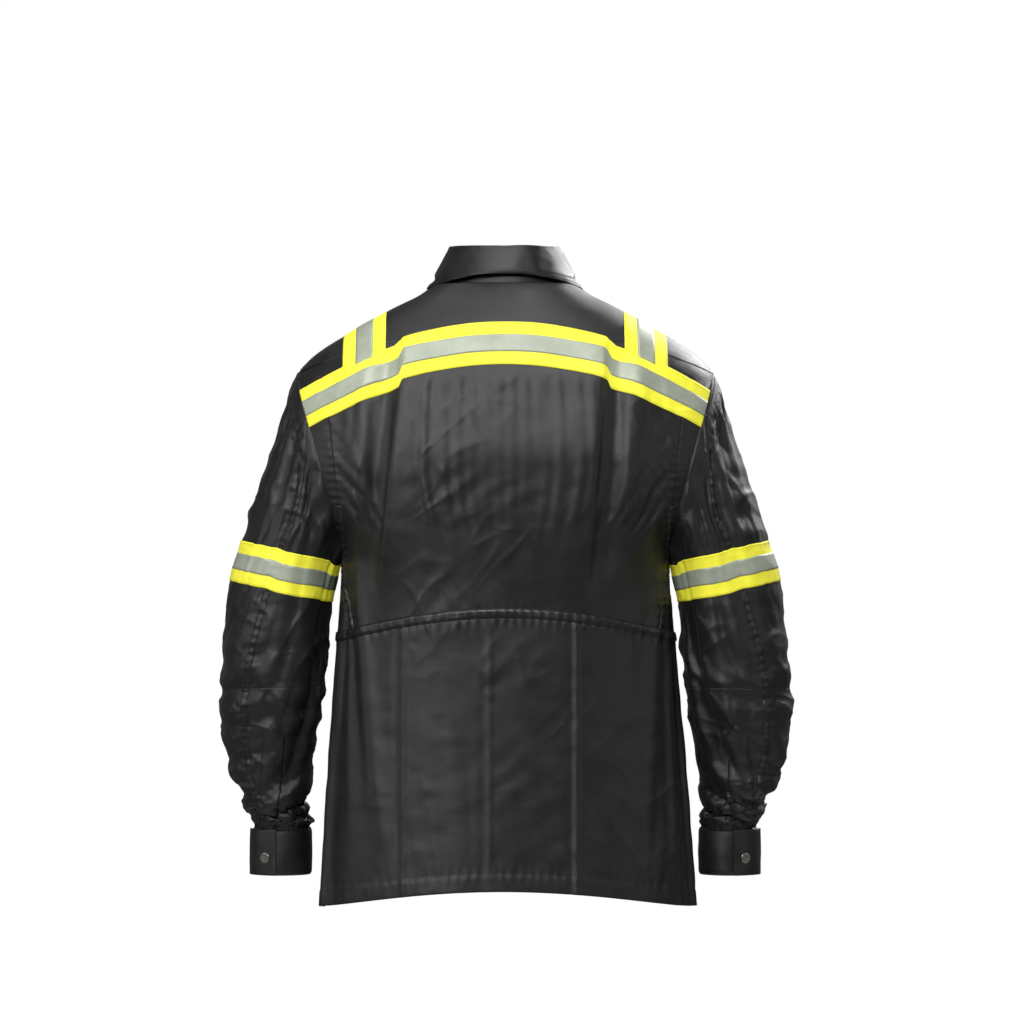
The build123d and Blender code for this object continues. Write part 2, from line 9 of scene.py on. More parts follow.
import bpy
import numpy as np
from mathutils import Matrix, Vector


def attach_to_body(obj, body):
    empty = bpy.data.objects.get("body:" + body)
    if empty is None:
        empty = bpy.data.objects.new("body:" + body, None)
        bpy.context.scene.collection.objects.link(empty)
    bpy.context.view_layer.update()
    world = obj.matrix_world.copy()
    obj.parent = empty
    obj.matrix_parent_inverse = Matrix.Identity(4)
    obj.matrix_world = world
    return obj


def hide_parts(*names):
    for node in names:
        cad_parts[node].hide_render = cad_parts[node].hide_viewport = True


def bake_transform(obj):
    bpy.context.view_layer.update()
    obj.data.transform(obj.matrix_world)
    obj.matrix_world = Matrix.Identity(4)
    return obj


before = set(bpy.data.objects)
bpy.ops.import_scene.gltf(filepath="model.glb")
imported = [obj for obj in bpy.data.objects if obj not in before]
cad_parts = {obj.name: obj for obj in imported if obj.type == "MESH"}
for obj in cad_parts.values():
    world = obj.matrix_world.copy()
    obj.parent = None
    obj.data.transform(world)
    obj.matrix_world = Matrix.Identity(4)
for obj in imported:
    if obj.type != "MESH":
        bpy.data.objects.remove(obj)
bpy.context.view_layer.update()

# ---- driving sizes, shared with the CAD part ---------------------------------
NECK_HEIGHT = 730.0
ROUNDNESS = 2.6
SHOULDER_SEAM_Y = -10.0
FRONT_EDGE = 15.0
TAPE_WIDTH = 50.0
SILVER_WIDTH = 20.0
BRACE_X = 164.0
CHEST_TAPE_LOW = 520.0
ARM_LOW = (190.0, 420.0)
ARM_HIGH = (245.0, 625.0)
SLEEVE_SPLIT = 262.0  # height where a sleeve's two pieces meet, just above the elbow
CUFF_TOP = 88.0
CUFF_LOW = 33.0
CUFF = (264.0, -20.0, 35.0, 38.0)  # middle x and y, half width, half depth
ARM_TAPE_HEIGHT = 397.0  # the arm tape's middle line, at ARM_TAPE_X
ARM_TAPE_X = 264.0
PLACKET_TOP = 221

# girths that scale the weave of each tube of cloth
BODY_GIRTH = 1160.0
SLEEVE_GIRTH = 430.0
CUFF_GIRTH = 230.0
COLLAR_GIRTH = 500.0

BODY = np.array([
    (-20, 222, 136), (0, 222, 136), (100, 219, 132), (220, 208, 127), (343, 198, 124),
    (400, 191, 128), (430, 200, 132), (470, 240, 137), (520, 259, 138), (575, 256, 130),
    (620, 246, 116), (642, 228, 107), (670, 186, 95), (700, 133, 80), (718, 98, 69),
    (735, 77, 60), (750, 70, 56),
], float)
SLEEVE = np.array([
    (20, 229, 299, 40, -20), (88, 229, 299, 41, -18), (130, 237, 312, 47, -12),
    (180, 233, 332, 57, -4), (240, 221, 339, 68, 4), (310, 214, 335, 74, 5),
    (395, 199, 327, 80, 2), (430, 185, 315, 84, 0), (470, 165, 303, 87, 0),
    (520, 160, 288, 85, 0), (570, 175, 268, 68, 0), (610, 200, 251, 45, 0),
    (628, 226, 243, 22, 0), (650, 230, 240, 12, 0),
], float)
SIDES = (("left", 1), ("right", -1))


# ---- small tools -----------------------------------------------------------------
def smooth_table(heights, values):
    """A smooth curve through the table that doesn't overshoot it."""
    slope = np.diff(values) / np.diff(heights)
    tangent = np.zeros_like(values)
    both = slope[:-1] * slope[1:] > 0
    tangent[1:-1][both] = 2 / (1 / slope[:-1][both] + 1 / slope[1:][both])

    def curve(height):
        height = np.clip(height, heights[0], heights[-1])
        i = np.clip(np.searchsorted(heights, height) - 1, 0, len(heights) - 2)
        step = heights[i + 1] - heights[i]
        t = (height - heights[i]) / step
        return (
            values[i] * (1 + 2 * t) * (1 - t) ** 2
            + tangent[i] * step * t * (1 - t) ** 2
            + values[i + 1] * t * t * (3 - 2 * t)
            + tangent[i + 1] * step * t * t * (t - 1)
        )

    return curve


def smoothstep(low, high, value):
    t = np.clip((value - low) / (high - low), 0, 1)
    return t * t * (3 - 2 * t)


def bump(value, width):
    return np.exp(-((value / width) ** 2))


def signed_power(value, exponent):
    return np.sign(value) * np.abs(value) ** exponent


def lattice(ix, iy, iz, seed):
    """A repeatable random number from -1 to 1 for each lattice point."""
    n = (ix * 374761393 + iy * 668265263 + iz * 2147483647 + seed * 144665) & 0xFFFFFFFF
    n = ((n ^ (n >> 13)) * 1274126177) & 0xFFFFFFFF
    n = n ^ (n >> 16)
    return (n & 0xFFFF) / 32767.5 - 1


def noise(points, size, seed=0):
    """Smooth noise from -1 to 1 at points, with lumps about as large as size."""
    p = points / np.asarray(size, float)
    whole = np.floor(p).astype(np.int64)
    t = p - whole
    t = t * t * (3 - 2 * t)
    total = 0
    for corner in range(8):
        step = np.array([corner & 1, corner >> 1 & 1, corner >> 2])
        weight = np.prod(np.where(step, t, 1 - t), axis=-1)
        cell = whole + step
        total = total + weight * lattice(cell[..., 0], cell[..., 1], cell[..., 2], seed)
    return total


def unit(vectors):
    return vectors / np.maximum(np.linalg.norm(vectors, axis=-1, keepdims=True), 1e-9)


# ---- the body's and the sleeves' design surfaces ------------------------------------
half_width = smooth_table(BODY[:, 0], BODY[:, 1])
back_depth = smooth_table(BODY[:, 0], BODY[:, 2])


def front_depth(height):
    return 138.0 - 60.0 * height / NECK_HEIGHT


ring_angles = np.linspace(0, 2 * np.pi, 2881)
ring_shape = np.stack([
    210 * signed_power(np.cos(ring_angles), 2 / ROUNDNESS),
    130 * signed_power(np.sin(ring_angles), 2 / ROUNDNESS),
], axis=1)
ring_length = np.concatenate([[0], np.cumsum(np.linalg.norm(np.diff(ring_shape, axis=0), axis=1))])
ring_length /= ring_length[-1]


def body_base(u, height):
    """A point of the body: u runs once round, from the left side over the back."""
    angle = np.interp(u % 1.0, ring_length, ring_angles)
    depth = np.where(np.sin(angle) > 0, back_depth(height), front_depth(height))
    x = half_width(height) * signed_power(np.cos(angle), 2 / ROUNDNESS)
    y = depth * signed_power(np.sin(angle), 2 / ROUNDNESS)
    return np.stack([x, y, height + 0 * x], axis=-1)


def body_u(x, height, front=False):
    """The u of the body's point at x, on the back or the front."""
    ratio = np.clip(np.abs(x) / half_width(height), 0, 1)
    angle = np.arccos(ratio ** (ROUNDNESS / 2))
    angle = np.where(np.asarray(x) < 0, np.pi - angle, angle)
    u = np.interp(angle, ring_angles, ring_length)
    return 1 - u if front else u


def arm_x(height):
    share = (height - ARM_LOW[1]) / (ARM_HIGH[1] - ARM_LOW[1])
    return ARM_LOW[0] + share * (ARM_HIGH[0] - ARM_LOW[0])


sleeve_inner = smooth_table(SLEEVE[:, 0], SLEEVE[:, 1])
sleeve_outer = smooth_table(SLEEVE[:, 0], SLEEVE[:, 2])
sleeve_depth = smooth_table(SLEEVE[:, 0], SLEEVE[:, 3])
sleeve_y = smooth_table(SLEEVE[:, 0], SLEEVE[:, 4])


def sleeve_base(u, height):
    """A point of the left sleeve: u runs from its outer side over its back."""
    angle = 2 * np.pi * u
    middle = (sleeve_inner(height) + sleeve_outer(height)) / 2
    half = (sleeve_outer(height) - sleeve_inner(height)) / 2
    x = middle + half * np.cos(angle)
    y = sleeve_y(height) + sleeve_depth(height) * np.sin(angle)
    return np.stack([x, y, height + 0 * x], axis=-1)


class Surface:
    """A tube of cloth: a grid of points, and fine relief along its normal."""

    starts = None

    def __init__(self, grid, low, high, design):
        self.grid = grid
        self.low = low
        self.high = high
        self.design = design
        self.relief = None

    def coarse(self, u, height):
        """Points of the grid, without the fine relief."""
        rows, cols = self.grid.shape[:2]
        r = np.clip((height - self.low) / (self.high - self.low), 0, 1) * (rows - 1)
        c = (u % 1.0) * cols
        ri = np.clip(np.floor(r).astype(int), 0, rows - 2)
        ci = np.floor(c).astype(int)
        total = 0
        for i, wi in enumerate(cubic_weights(r - ri)):
            row = np.clip(ri + i - 1, 0, rows - 1)
            for j, wj in enumerate(cubic_weights(c - ci)):
                total = total + (wi * wj)[..., None] * self.grid[row, (ci + j - 1) % cols]
        return total

    def frame_at(self, u, height):
        """Points, outward normals, and how a point moves with u and height."""
        point = self.coarse(u, height)
        along_u = (self.coarse(u + 0.002, height) - self.coarse(u - 0.002, height)) / 0.004
        along_h = (self.coarse(u, height + 1.5) - self.coarse(u, height - 1.5)) / 3
        return point, unit(np.cross(along_u, along_h)), along_u, along_h

    def at(self, u, height, lift=0.0):
        """Points at a lift above the grid and its fine relief."""
        point, normal = self.frame_at(u, height)[:2]
        if self.relief is not None:
            lift = lift + self.relief(u, height, point)
        if np.ndim(lift):
            lift = np.asarray(lift)[..., None]
        return point + normal * lift

    def beside(self, u, height, distance):
        """The u and height that lie a distance to the left of a path on the surface."""
        point, normal, along_u, along_h = self.frame_at(u, height)
        ahead = unit(np.gradient(point, axis=0))
        offset = np.cross(normal, ahead) * np.reshape(distance, (-1, 1))
        a = np.sum(along_u * along_u, -1)
        b = np.sum(along_u * along_h, -1)
        c = np.sum(along_h * along_h, -1)
        p = np.sum(along_u * offset, -1)
        q = np.sum(along_h * offset, -1)
        det = a * c - b * b
        return u + (c * p - b * q) / det, height + (a * q - b * p) / det


class Form(Surface):
    """A surface given by a formula of u and height, in place of a grid."""

    def __init__(self, shape, relief=None):
        self.shape = shape
        self.design = shape
        self.relief = relief

    def coarse(self, u, height):
        return self.shape(u, height)


def cubic_weights(t):
    return (
        -0.5 * t + t**2 - 0.5 * t**3,
        1 - 2.5 * t**2 + 1.5 * t**3,
        0.5 * t + 2 * t**2 - 1.5 * t**3,
        -0.5 * t**2 + 0.5 * t**3,
    )


# ---- meshes ------------------------------------------------------------------------
def mesh_piece(name, vertices, faces, material, uvs=None):
    """A smooth mesh object from points in millimetres above the hem."""
    vertices = np.array(vertices, float).reshape(-1, 3)
    vertices[:, 2] -= NECK_HEIGHT
    mesh = bpy.data.meshes.new(name)
    mesh.from_pydata((vertices / 1000).tolist(), [], faces)
    if uvs is not None:
        loops = np.empty(len(mesh.loops), np.int32)
        mesh.loops.foreach_get("vertex_index", loops)
        layer = mesh.uv_layers.new(name="UVMap")
        layer.data.foreach_set("uv", (np.asarray(uvs) / 1000)[loops].ravel())
    mesh.polygons.foreach_set("use_smooth", np.ones(len(mesh.polygons), bool))
    mesh.materials.append(material)
    obj = bpy.data.objects.new(name, mesh)
    bpy.context.scene.collection.objects.link(obj)
    return obj


def grid_faces(rows, cols, start=0, flip=False, around=False):
    """The quads of a grid of points, wound so that they face outwards."""
    across = cols if around else cols - 1
    r, c = np.meshgrid(np.arange(rows - 1), np.arange(across), indexing="ij")
    a = start + r * cols + c
    b = start + r * cols + (c + 1) % cols
    quads = np.stack([a, b, b + cols, a + cols], axis=-1).reshape(-1, 4)
    return (quads[:, ::-1] if flip else quads).tolist()


def rim_faces(rows, cols, offset, around):
    """Quads that join the edges of an outer grid to an inner grid."""
    if around:
        edges = [[r * cols + c for c in range(cols)] for r in (0, rows - 1)]
        loops = [edges[0] + edges[0][:1], (edges[1] + edges[1][:1])[::-1]]
    else:
        bottom = list(range(cols))
        right = [r * cols + cols - 1 for r in range(rows)]
        top = [(rows - 1) * cols + c for c in range(cols)][::-1]
        left = [r * cols for r in range(rows)][::-1]
        loops = [bottom + right[1:] + top[1:] + left[1:]]
    return [[b, a, a + offset, b + offset] for loop in loops for a, b in zip(loop, loop[1:])]


def draft(name, surface, u, height, around=False):
    """Works out a piece's outline on the undraped form, closing it if it runs round; nothing is
    kept or returned.
    """
    point = surface.design(u, height)
    if around:
        point = np.concatenate([point, point[:, :1]], axis=1)


def shell_piece(name, outer, inner, material, uvs=None, around=False):
    """A closed piece of cloth between two grids of points."""
    if uvs is None:
        uvs = np.zeros(outer.shape[:2] + (2,))
    vertices, faces = shell_part(outer, inner, around)
    flat = uvs.reshape(-1, 2)
    return mesh_piece(name, vertices, faces, material, np.concatenate([flat, flat]))


def shell_part(outer, inner, around=False):
    """The vertices and faces of a closed piece between two grids of points."""
    rows, cols = outer.shape[:2]
    count = rows * cols
    vertices = np.concatenate([outer.reshape(-1, 3), inner.reshape(-1, 3)])
    faces = grid_faces(rows, cols, around=around)
    faces += grid_faces(rows, cols, start=count, flip=True, around=around)
    faces += rim_faces(rows, cols, count, around)
    across = outer[1:-1, 2:] - outer[1:-1, :-2]
    up = outer[2:, 1:-1] - outer[:-2, 1:-1]
    out = (outer - inner)[1:-1, 1:-1]
    if np.sum(np.cross(across, up) * out) < 0:
        faces = [face[::-1] for face in faces]
    return vertices, faces


def join_meshes(name, parts, material):
    """One object from several (vertices, faces) pairs."""
    vertices = []
    faces = []
    count = 0
    for points, quads in parts:
        vertices.append(points)
        faces += (np.asarray(quads) + count).tolist()
        count += len(points)
    return mesh_piece(name, np.concatenate(vertices), faces, material)


def strip_part(surface, u, height, width, lift, middle=0.0, samples=7):
    """A raised strip of cloth with soft edges along a path on a surface."""
    outer = []
    inner = []
    for t in np.linspace(-1, 1, samples):
        uu, hh = surface.beside(u, height, middle + t * width / 2)
        profile = max(lift * (1 - abs(t) ** 5), 0.05)
        outer.append(surface.at(uu, hh, np.full(len(u), profile)))
        inner.append(surface.at(uu, hh, np.full(len(u), -0.5)))
    return shell_part(np.stack(outer, axis=1), np.stack(inner, axis=1))


def resample(surface, u, height, step):
    """The same path with points evenly spaced by step."""
    point = surface.coarse(u, height)
    length = np.concatenate([[0], np.cumsum(np.linalg.norm(np.diff(point, axis=0), axis=1))])
    at = np.arange(0, length[-1], step)
    return np.interp(at, length, u), np.interp(at, length, height)


STITCH = 2.6
STITCH_PITCH = 3.5
THREAD = 0.55


def stitch_part(surface, u, height, distance, lift):
    """Stitches along a path: a small raised bar for each."""
    u, height = resample(surface, u, height, STITCH_PITCH / 2)
    u, height = surface.beside(u, height, distance)
    point, normal, _, _ = surface.frame_at(u, height)
    point = surface.at(u, height, np.full(len(u), lift))
    ahead = unit(np.gradient(point, axis=0))
    aside = np.cross(normal, ahead)
    point, normal, ahead, aside = (a[::2] for a in (point, normal, ahead, aside))
    corners = []
    for along, across, up in ((-1, -1, -0.2), (-1, 1, -0.2), (1, 1, -0.2), (1, -1, -0.2),
                              (-0.7, 0, 0.45), (0.7, 0, 0.45)):
        corners.append(point + ahead * along * STITCH / 2 + aside * across * THREAD / 2
                       + normal * up)
    vertices = np.stack(corners, axis=1).reshape(-1, 3)
    base = np.arange(len(point))[:, None] * 6
    quads = np.concatenate([base + np.array([0, 3, 5, 4]), base + np.array([2, 1, 4, 5])])
    return vertices, quads.tolist()


# ---- cloth simulation ----------------------------------------------------------------
def simulate(base, avatar_grid, pin, growth, frames, limit):
    """Lets a tube of cloth hang over a body form, and returns its new points."""
    rows, cols = base.shape[:2]
    objects = []
    for name, grid in (("sim_cloth", base), ("sim_form", avatar_grid)):
        mesh = bpy.data.meshes.new(name)
        mesh.from_pydata((grid.reshape(-1, 3) / 1000).tolist(), [],
                         grid_faces(grid.shape[0], grid.shape[1], around=True))
        obj = bpy.data.objects.new(name, mesh)
        bpy.context.scene.collection.objects.link(obj)
        objects.append(obj)
    cloth_obj, form = objects
    form.modifiers.new("Collision", "COLLISION")
    form.collision.thickness_outer = 0.002
    form.collision.cloth_friction = 12
    group = cloth_obj.vertex_groups.new(name="pin")
    for index, weight in enumerate(pin.ravel()):
        if weight > 0.001:
            group.add([index], float(weight), "REPLACE")
    cloth = cloth_obj.modifiers.new("Cloth", "CLOTH")
    settings = cloth.settings
    settings.quality = 6
    settings.mass = 0.2
    settings.tension_stiffness = 18
    settings.compression_stiffness = 18
    settings.shear_stiffness = 6
    settings.bending_stiffness = 0.25
    settings.air_damping = 2
    settings.vertex_group_mass = "pin"
    settings.pin_stiffness = 2
    settings.shrink_min = -growth
    cloth.collision_settings.distance_min = 0.002
    cloth.collision_settings.collision_quality = 2
    cloth.collision_settings.use_self_collision = False
    cloth.point_cache.frame_start = 1
    cloth.point_cache.frame_end = frames
    scene = bpy.context.scene
    for number in range(1, frames + 1):
        scene.frame_set(number)
    hung = cloth_obj.evaluated_get(bpy.context.evaluated_depsgraph_get())
    points = np.empty(rows * cols * 3, np.float32)
    hung.data.vertices.foreach_get("co", points)
    for obj in objects:
        bpy.data.objects.remove(obj, do_unlink=True)
    scene.frame_set(1)
    move = points.reshape(rows, cols, 3) * 1000.0 - base
    size = np.linalg.norm(move, axis=-1, keepdims=True)
    most = np.broadcast_to(np.asarray(limit, float), (rows, cols))[..., None]
    most = np.maximum(most, 0.001)
    return base + move * most * np.tanh(size / most) / np.maximum(size, 1e-6)


GRID_LOW, GRID_HIGH = -20.0, 745.0
SLEEVE_LOW, SLEEVE_HIGH = 60.0, 640.0


def body_grid(rows=100, cols=176):
    height, u = np.meshgrid(np.linspace(GRID_LOW, GRID_HIGH, rows), np.arange(cols) / cols,
                            indexing="ij")
    return height, body_base(u, height)


def hang_body():
    """The body tube's starting shape, the form it hangs over, its pins and its limits of movement,
    for hanging over a wearer's trunk.
    """
    height, base = body_grid()
    x, y = base[..., 0], base[..., 1]
    # drape folds below the back tape, and flutes that open towards the hem
    back = smoothstep(10, 60, y)
    hang = smoothstep(635, 560, height)
    folds = 5.0 * noise(base, (70, 200, 260), 5)
    folds *= hang * smoothstep(350, 430, height)
    flutes = 5.0 * np.sin(x / 46 + 0.6) * smoothstep(330, 60, height)
    normal = unit(np.stack([x, y * 2.0, 0 * x], axis=-1))
    start = base + normal * (back * (folds + flutes))[..., None]
    outside = np.abs(x) - arm_x(height)
    pin = smoothstep(590, 640, height)
    pin = np.maximum(pin, smoothstep(-26, -8, outside) * smoothstep(395, 425, height))
    front = (y < 0)
    pin = np.maximum(pin, front * smoothstep(34, 22, np.abs(x)))
    pocket = front * smoothstep(185, 165, np.abs(x)) * smoothstep(310, 335, height)
    pin = np.maximum(pin, 0.9 * pocket)
    limit = 15 * (1 - pin) * (1 - 0.7 * smoothstep(450, 540, height)) + 0.01
    side_gap = smoothstep(180, 215, np.abs(x)) * smoothstep(230, 330, height)
    limit = limit * (1 - 0.85 * side_gap)
    inward = np.where(height > 430, 8.0, 14.0)
    form = base - normal * inward[..., None]
    return start, form, pin, limit


def hang_sleeve(side):
    """The sleeve tube's starting shape, the form it hangs on, its pins and its limits of movement,
    for hanging on a wearer's arm.
    """
    height, u = np.meshgrid(np.linspace(SLEEVE_LOW, SLEEVE_HIGH, 100), np.arange(72) / 72,
                            indexing="ij")
    base = sleeve_base(side * u, height)
    base[..., 0] *= side
    angle = 2 * np.pi * side * u
    middle = (sleeve_inner(height) + sleeve_outer(height)) / 2
    normal = unit(np.stack([base[..., 0] - side * middle, base[..., 1] - sleeve_y(height),
                            0 * height], axis=-1))
    seed = 11 if side > 0 else 23
    warp = noise(base, (90, 90, 90), seed) * 1.6
    slack = smoothstep(400, 330, height) * smoothstep(95, 130, height)
    above = smoothstep(410, 440, height) * smoothstep(560, 500, height)
    slant = 1.15 * np.cos(angle - 0.6)
    bunch = np.sin(height / 6.4 + slant * 2.2 + warp * 1.5)
    bunch = np.sign(bunch) * np.abs(bunch) ** 0.8
    elbow = bump(height - 235, 60) * 2.6 + bump(height - 135, 34) * 3.4 + 0.8
    patch = 0.55 + 0.45 * noise(base, (60, 60, 45), seed + 5)
    lift = bunch * elbow * slack * patch + 2.0 * above * bunch * patch
    start = base + normal * lift[..., None]
    outside = side * base[..., 0] - arm_x(height)
    pin = np.maximum(smoothstep(24, 6, outside), smoothstep(100, 84, height))
    limit = 9 * (1 - pin) + 0.01
    near = smoothstep(0.2, 0.9, -np.cos(angle)) * smoothstep(300, 360, height)
    limit = limit * (1 - 0.6 * near)
    form = base - normal * (0.24 * sleeve_depth(height))[..., None]
    return start, form, pin, limit


def sleeve_design(side):
    """The undraped form of one sleeve, for a Surface's own u."""

    def design(u, height):
        point = sleeve_base(side * u, height)
        return point * np.array([side, 1, 1])

    return design


def make_surfaces():
    start, form, pin, limit = hang_body()
    grid = simulate(start, form, pin, 0.004, 26, limit)
    body = Surface(grid, GRID_LOW, GRID_HIGH, body_base)
    sleeves = {}
    for name, side in SIDES:
        start, form, pin, limit = hang_sleeve(side)
        grid = simulate(start, form, pin, 0.05, 30, limit)
        sleeves[name] = Surface(grid, SLEEVE_LOW, SLEEVE_HIGH, sleeve_design(side))
    return body, sleeves


# ---- seam lines, in the back's x and height -------------------------------------------
def side_back_x(height):
    return np.interp(height, [290, 393, 475, 640], [174, 189, 195, 214])


def arch(middle, end):
    """An arched line across the back: its height at x = 0 and at x = 300."""
    return lambda x: middle + (end - middle) * (np.asarray(x) / 300) ** 2


hem_line = arch(27, -20)
waist_line = arch(343, 270)
yoke_line = arch(657, 560)
tape_top = arch(682, 568)


def tape_step(x):
    """The tape steps down a little where the drape folds start."""
    return -7.0 * smoothstep(118, 124, np.abs(np.asarray(x)))


def creases(point, along, length, width, seed):
    """Sharp-crested folds, from 0 to 1, that run along a direction."""
    along = unit(np.asarray(along, float))
    aside = unit(np.cross(along, [0.25, 1.0, 0.1]))
    out = np.cross(along, aside)
    warped = point + 9.0 * np.stack([noise(point, (48, 48, 48), seed + k) for k in (1, 2, 3)],
                                    axis=-1)
    turned = np.stack([warped @ along, warped @ aside, warped @ out], axis=-1)
    ridge = 1 - np.abs(noise(turned, (length, width, 4 * width), seed))
    return ridge**4


def pleat(x, height, top, bottom, side):
    """A soft drape fold: raised towards the middle, with a valley beside it."""
    place = np.interp(height, [380, 640], [bottom, top])
    away = side * x - place
    raised = 4.5 * smoothstep(5, -5, away) * np.exp(-(np.minimum(away, 0) / 38) ** 2)
    valley = -4.5 * bump(away - 15, 12) + 3.0 * bump(away - 38, 13)
    top = tape_top(x) + tape_step(x)
    return (raised + valley) * smoothstep(4, -12, height - top) * smoothstep(345, 430, height)


def body_relief(u, height, point):
    """Fine relief of the body's cloth, along its normal."""
    x, y = point[..., 0], point[..., 1]
    free = smoothstep(-6, -34, np.abs(x) - arm_x(height)) + (height < 415) + (height > 640)
    free = np.clip(free, 0, 1)
    front = y < 0
    free = free * np.where(front, smoothstep(22, 40, np.abs(x)), 1)
    calm = np.where(front & (np.abs(x) < 170) & (height > 320) & (height < 515), 0.25, 1.0)
    wave = noise(point, (34, 34, 22), 3) + 0.5 * noise(point, (15, 15, 10), 4)
    total = 0.42 * wave * free * calm
    # small slanting wrinkles where the cloth is slack
    slant = point @ np.array([0.72, 0.1, 0.69])
    lines = np.sin(slant / 4.6 + 3.5 * noise(point, (60, 60, 60), 8))
    slack = smoothstep(0.15, 0.75, noise(point, (75, 75, 60), 9))
    total = total + 0.32 * lines * slack * free * calm
    back = smoothstep(0, 40, y)
    tape = bump(height - tape_top(x) + TAPE_WIDTH / 2, 30) * back
    total = total * (1 - 0.75 * tape) + 1.3 * tape * noise(point, (42, 60, 300), 21)
    inside = smoothstep(-4, -30, np.abs(x) - arm_x(height))
    total = total + back * inside * pleat(x, height, 121, 148, 1)
    total = total + back * inside * pleat(x, height, 118, 98, -1)
    slanting = (creases(point, (0.75, 0, -0.66), 60, 17, 71)
                + creases(point, (-0.5, 0, -0.85), 70, 20, 75))
    patch = smoothstep(-0.1, 0.7, noise(point, (80, 80, 70), 79))
    total = total + (0.95 * slanting * patch * free * calm * (1 - tape)
                     * smoothstep(655, 600, height))
    # pressed folds in the lower back panel, and a faint one at its middle
    below = smoothstep(8, -8, height - waist_line(x)) * back
    for place, size in ((118, 1.7), (-83, 1.7), (18, 0.6)):
        total = total + size * below * (bump(x - place, 3.4) - 0.5 * bump(x - place - 7, 5))
    # puckers beside the sewn seams
    ripple = np.sin(height / 1.55 + 2.2 * noise(point, (25, 25, 25), 12))
    beside = np.abs(np.abs(x) - side_back_x(height))
    above = smoothstep(-5, 5, height - waist_line(x)) * smoothstep(620, 560, height)
    total = total + 0.55 * ripple * bump(beside, 9) * above * back
    ripple = np.sin(x / 1.7 + 2.0 * noise(point, (22, 22, 22), 14))
    total = total + 0.7 * ripple * bump(height - waist_line(x), 9) * back
    total = total + 0.35 * ripple * bump(height - hem_line(x) - 20, 9) * free
    total = total + 0.7 * back * smoothstep(19.5, 18.0, height - hem_line(x))
    # slow swell of the lower panel, as it hangs from the waist
    total = total + 2.4 * below * noise(point, (60, 90, 220), 27)
    return total


def sleeve_relief(side):
    """Fine relief of one sleeve's cloth, along its normal."""

    def relief(u, height, point):
        x = side * point[..., 0]
        free = smoothstep(6, 30, x - arm_x(height)) * smoothstep(88, 104, height)
        band = arm_band(x)
        calm = 1 - 0.7 * bump(height - band, 32)
        wave = noise(point, (24, 24, 14), 31 + side) + 0.5 * noise(point, (11, 11, 8), 33 + side)
        slant = point @ np.array([0.62 * side, 0.35, 0.70])
        lines = np.sin(slant / 3.4 + 4.0 * noise(point, (45, 45, 40), 35 + side))
        slack = smoothstep(-0.05, 0.6, noise(point, (55, 55, 45), 37 + side))
        total = 0.55 * wave + 0.5 * lines * slack
        down = smoothstep(600, 480, height)
        folds = creases(point, (0.62 * side, 0.1, -0.78), 130, 27, 81 + side)
        folds = folds + 0.6 * creases(point, (-0.85 * side, 0, -0.5), 90, 22, 87 + side)
        wrist = bump(height - 125, 38) + 0.6 * bump(height - 250, 50)
        folds = folds + wrist * creases(point, (0.94, 0, 0.3), 80, 15, 93 + side)
        total = total + 2.7 * folds * down * (0.35 + 0.65 * calm)
        ripple = np.sin(height / 1.6 + 2.0 * noise(point, (20, 20, 20), 39))
        for seam in (sleeve_back_seam, sleeve_front_seam):
            gap = (side * u - seam(height) + 0.5) % 1.0 - 0.5
            total = total + 0.5 * ripple * bump(gap * 420, 8)
        tuck = -3.2 * smoothstep(98, 88, height)
        return total * free * calm + tuck

    return relief


def arm_band(x):
    """Height of the arm tape's middle line at x, on the left sleeve."""
    return ARM_TAPE_HEIGHT + 0.25 * (x - ARM_TAPE_X)


def sleeve_back_seam(height):
    return 0.215 - 0.05 * smoothstep(420, 240, height)


def sleeve_front_seam(height):
    return 0.70 + 0.0 * height


# ---- panels -------------------------------------------------------------------------------
def find_edge(row_height, front):
    """u of both edges of one row: the side seam, shoulder seam or armhole."""
    centre = 0.75 if front else 0.25
    edges = []
    for way in (-1, 1):
        reach = np.linspace(0, 0.30, 900)
        u = centre + way * reach
        height = np.full(len(u), row_height(0.0))
        for _ in range(24):
            height = 0.5 * height + 0.5 * row_height(body_base(u, height)[:, 0])
        point = body_base(u, height)
        beyond = (point[:, 1] > SHOULDER_SEAM_Y) if front else (point[:, 1] < SHOULDER_SEAM_Y)
        in_arm = (np.abs(point[:, 0]) > arm_x(height)) & (height > ARM_LOW[1] - 1)
        stop = np.argmax(beyond | in_arm)
        edges.append((u[stop], u, height))
    return edges


def row_points(row_height, u):
    """The height of each point of a row at u, found by repeated halving of the gap."""
    height = row_height(np.zeros(np.shape(u)))
    for _ in range(40):
        height = 0.5 * height + 0.5 * row_height(body_base(u, height)[..., 0])
    return height


def panel(name, surface, rows, start_u, end_u, cols, material, thick=0.9):
    """A cloth panel: rows are lines of height over x, each from start_u to end_u."""
    share = np.linspace(0, 1, cols)
    u = np.stack([a + (b - a) * share for a, b in zip(start_u, end_u)])
    height = np.stack([row_points(line, line_u) for line, line_u in zip(rows, u)])
    outer = surface.at(u, height)
    inner = surface.at(u, height, np.full(u.shape, -thick))
    uvs = np.stack([u * BODY_GIRTH, height], axis=-1)
    draft(name, surface, u, height)
    return shell_piece(name, outer, inner, material, uvs)


def blend_rows(low_line, high_line, shares):
    def line(share):
        return lambda x: low_line(x) * (1 - share) + high_line(x) * share

    return [line(share) for share in shares]


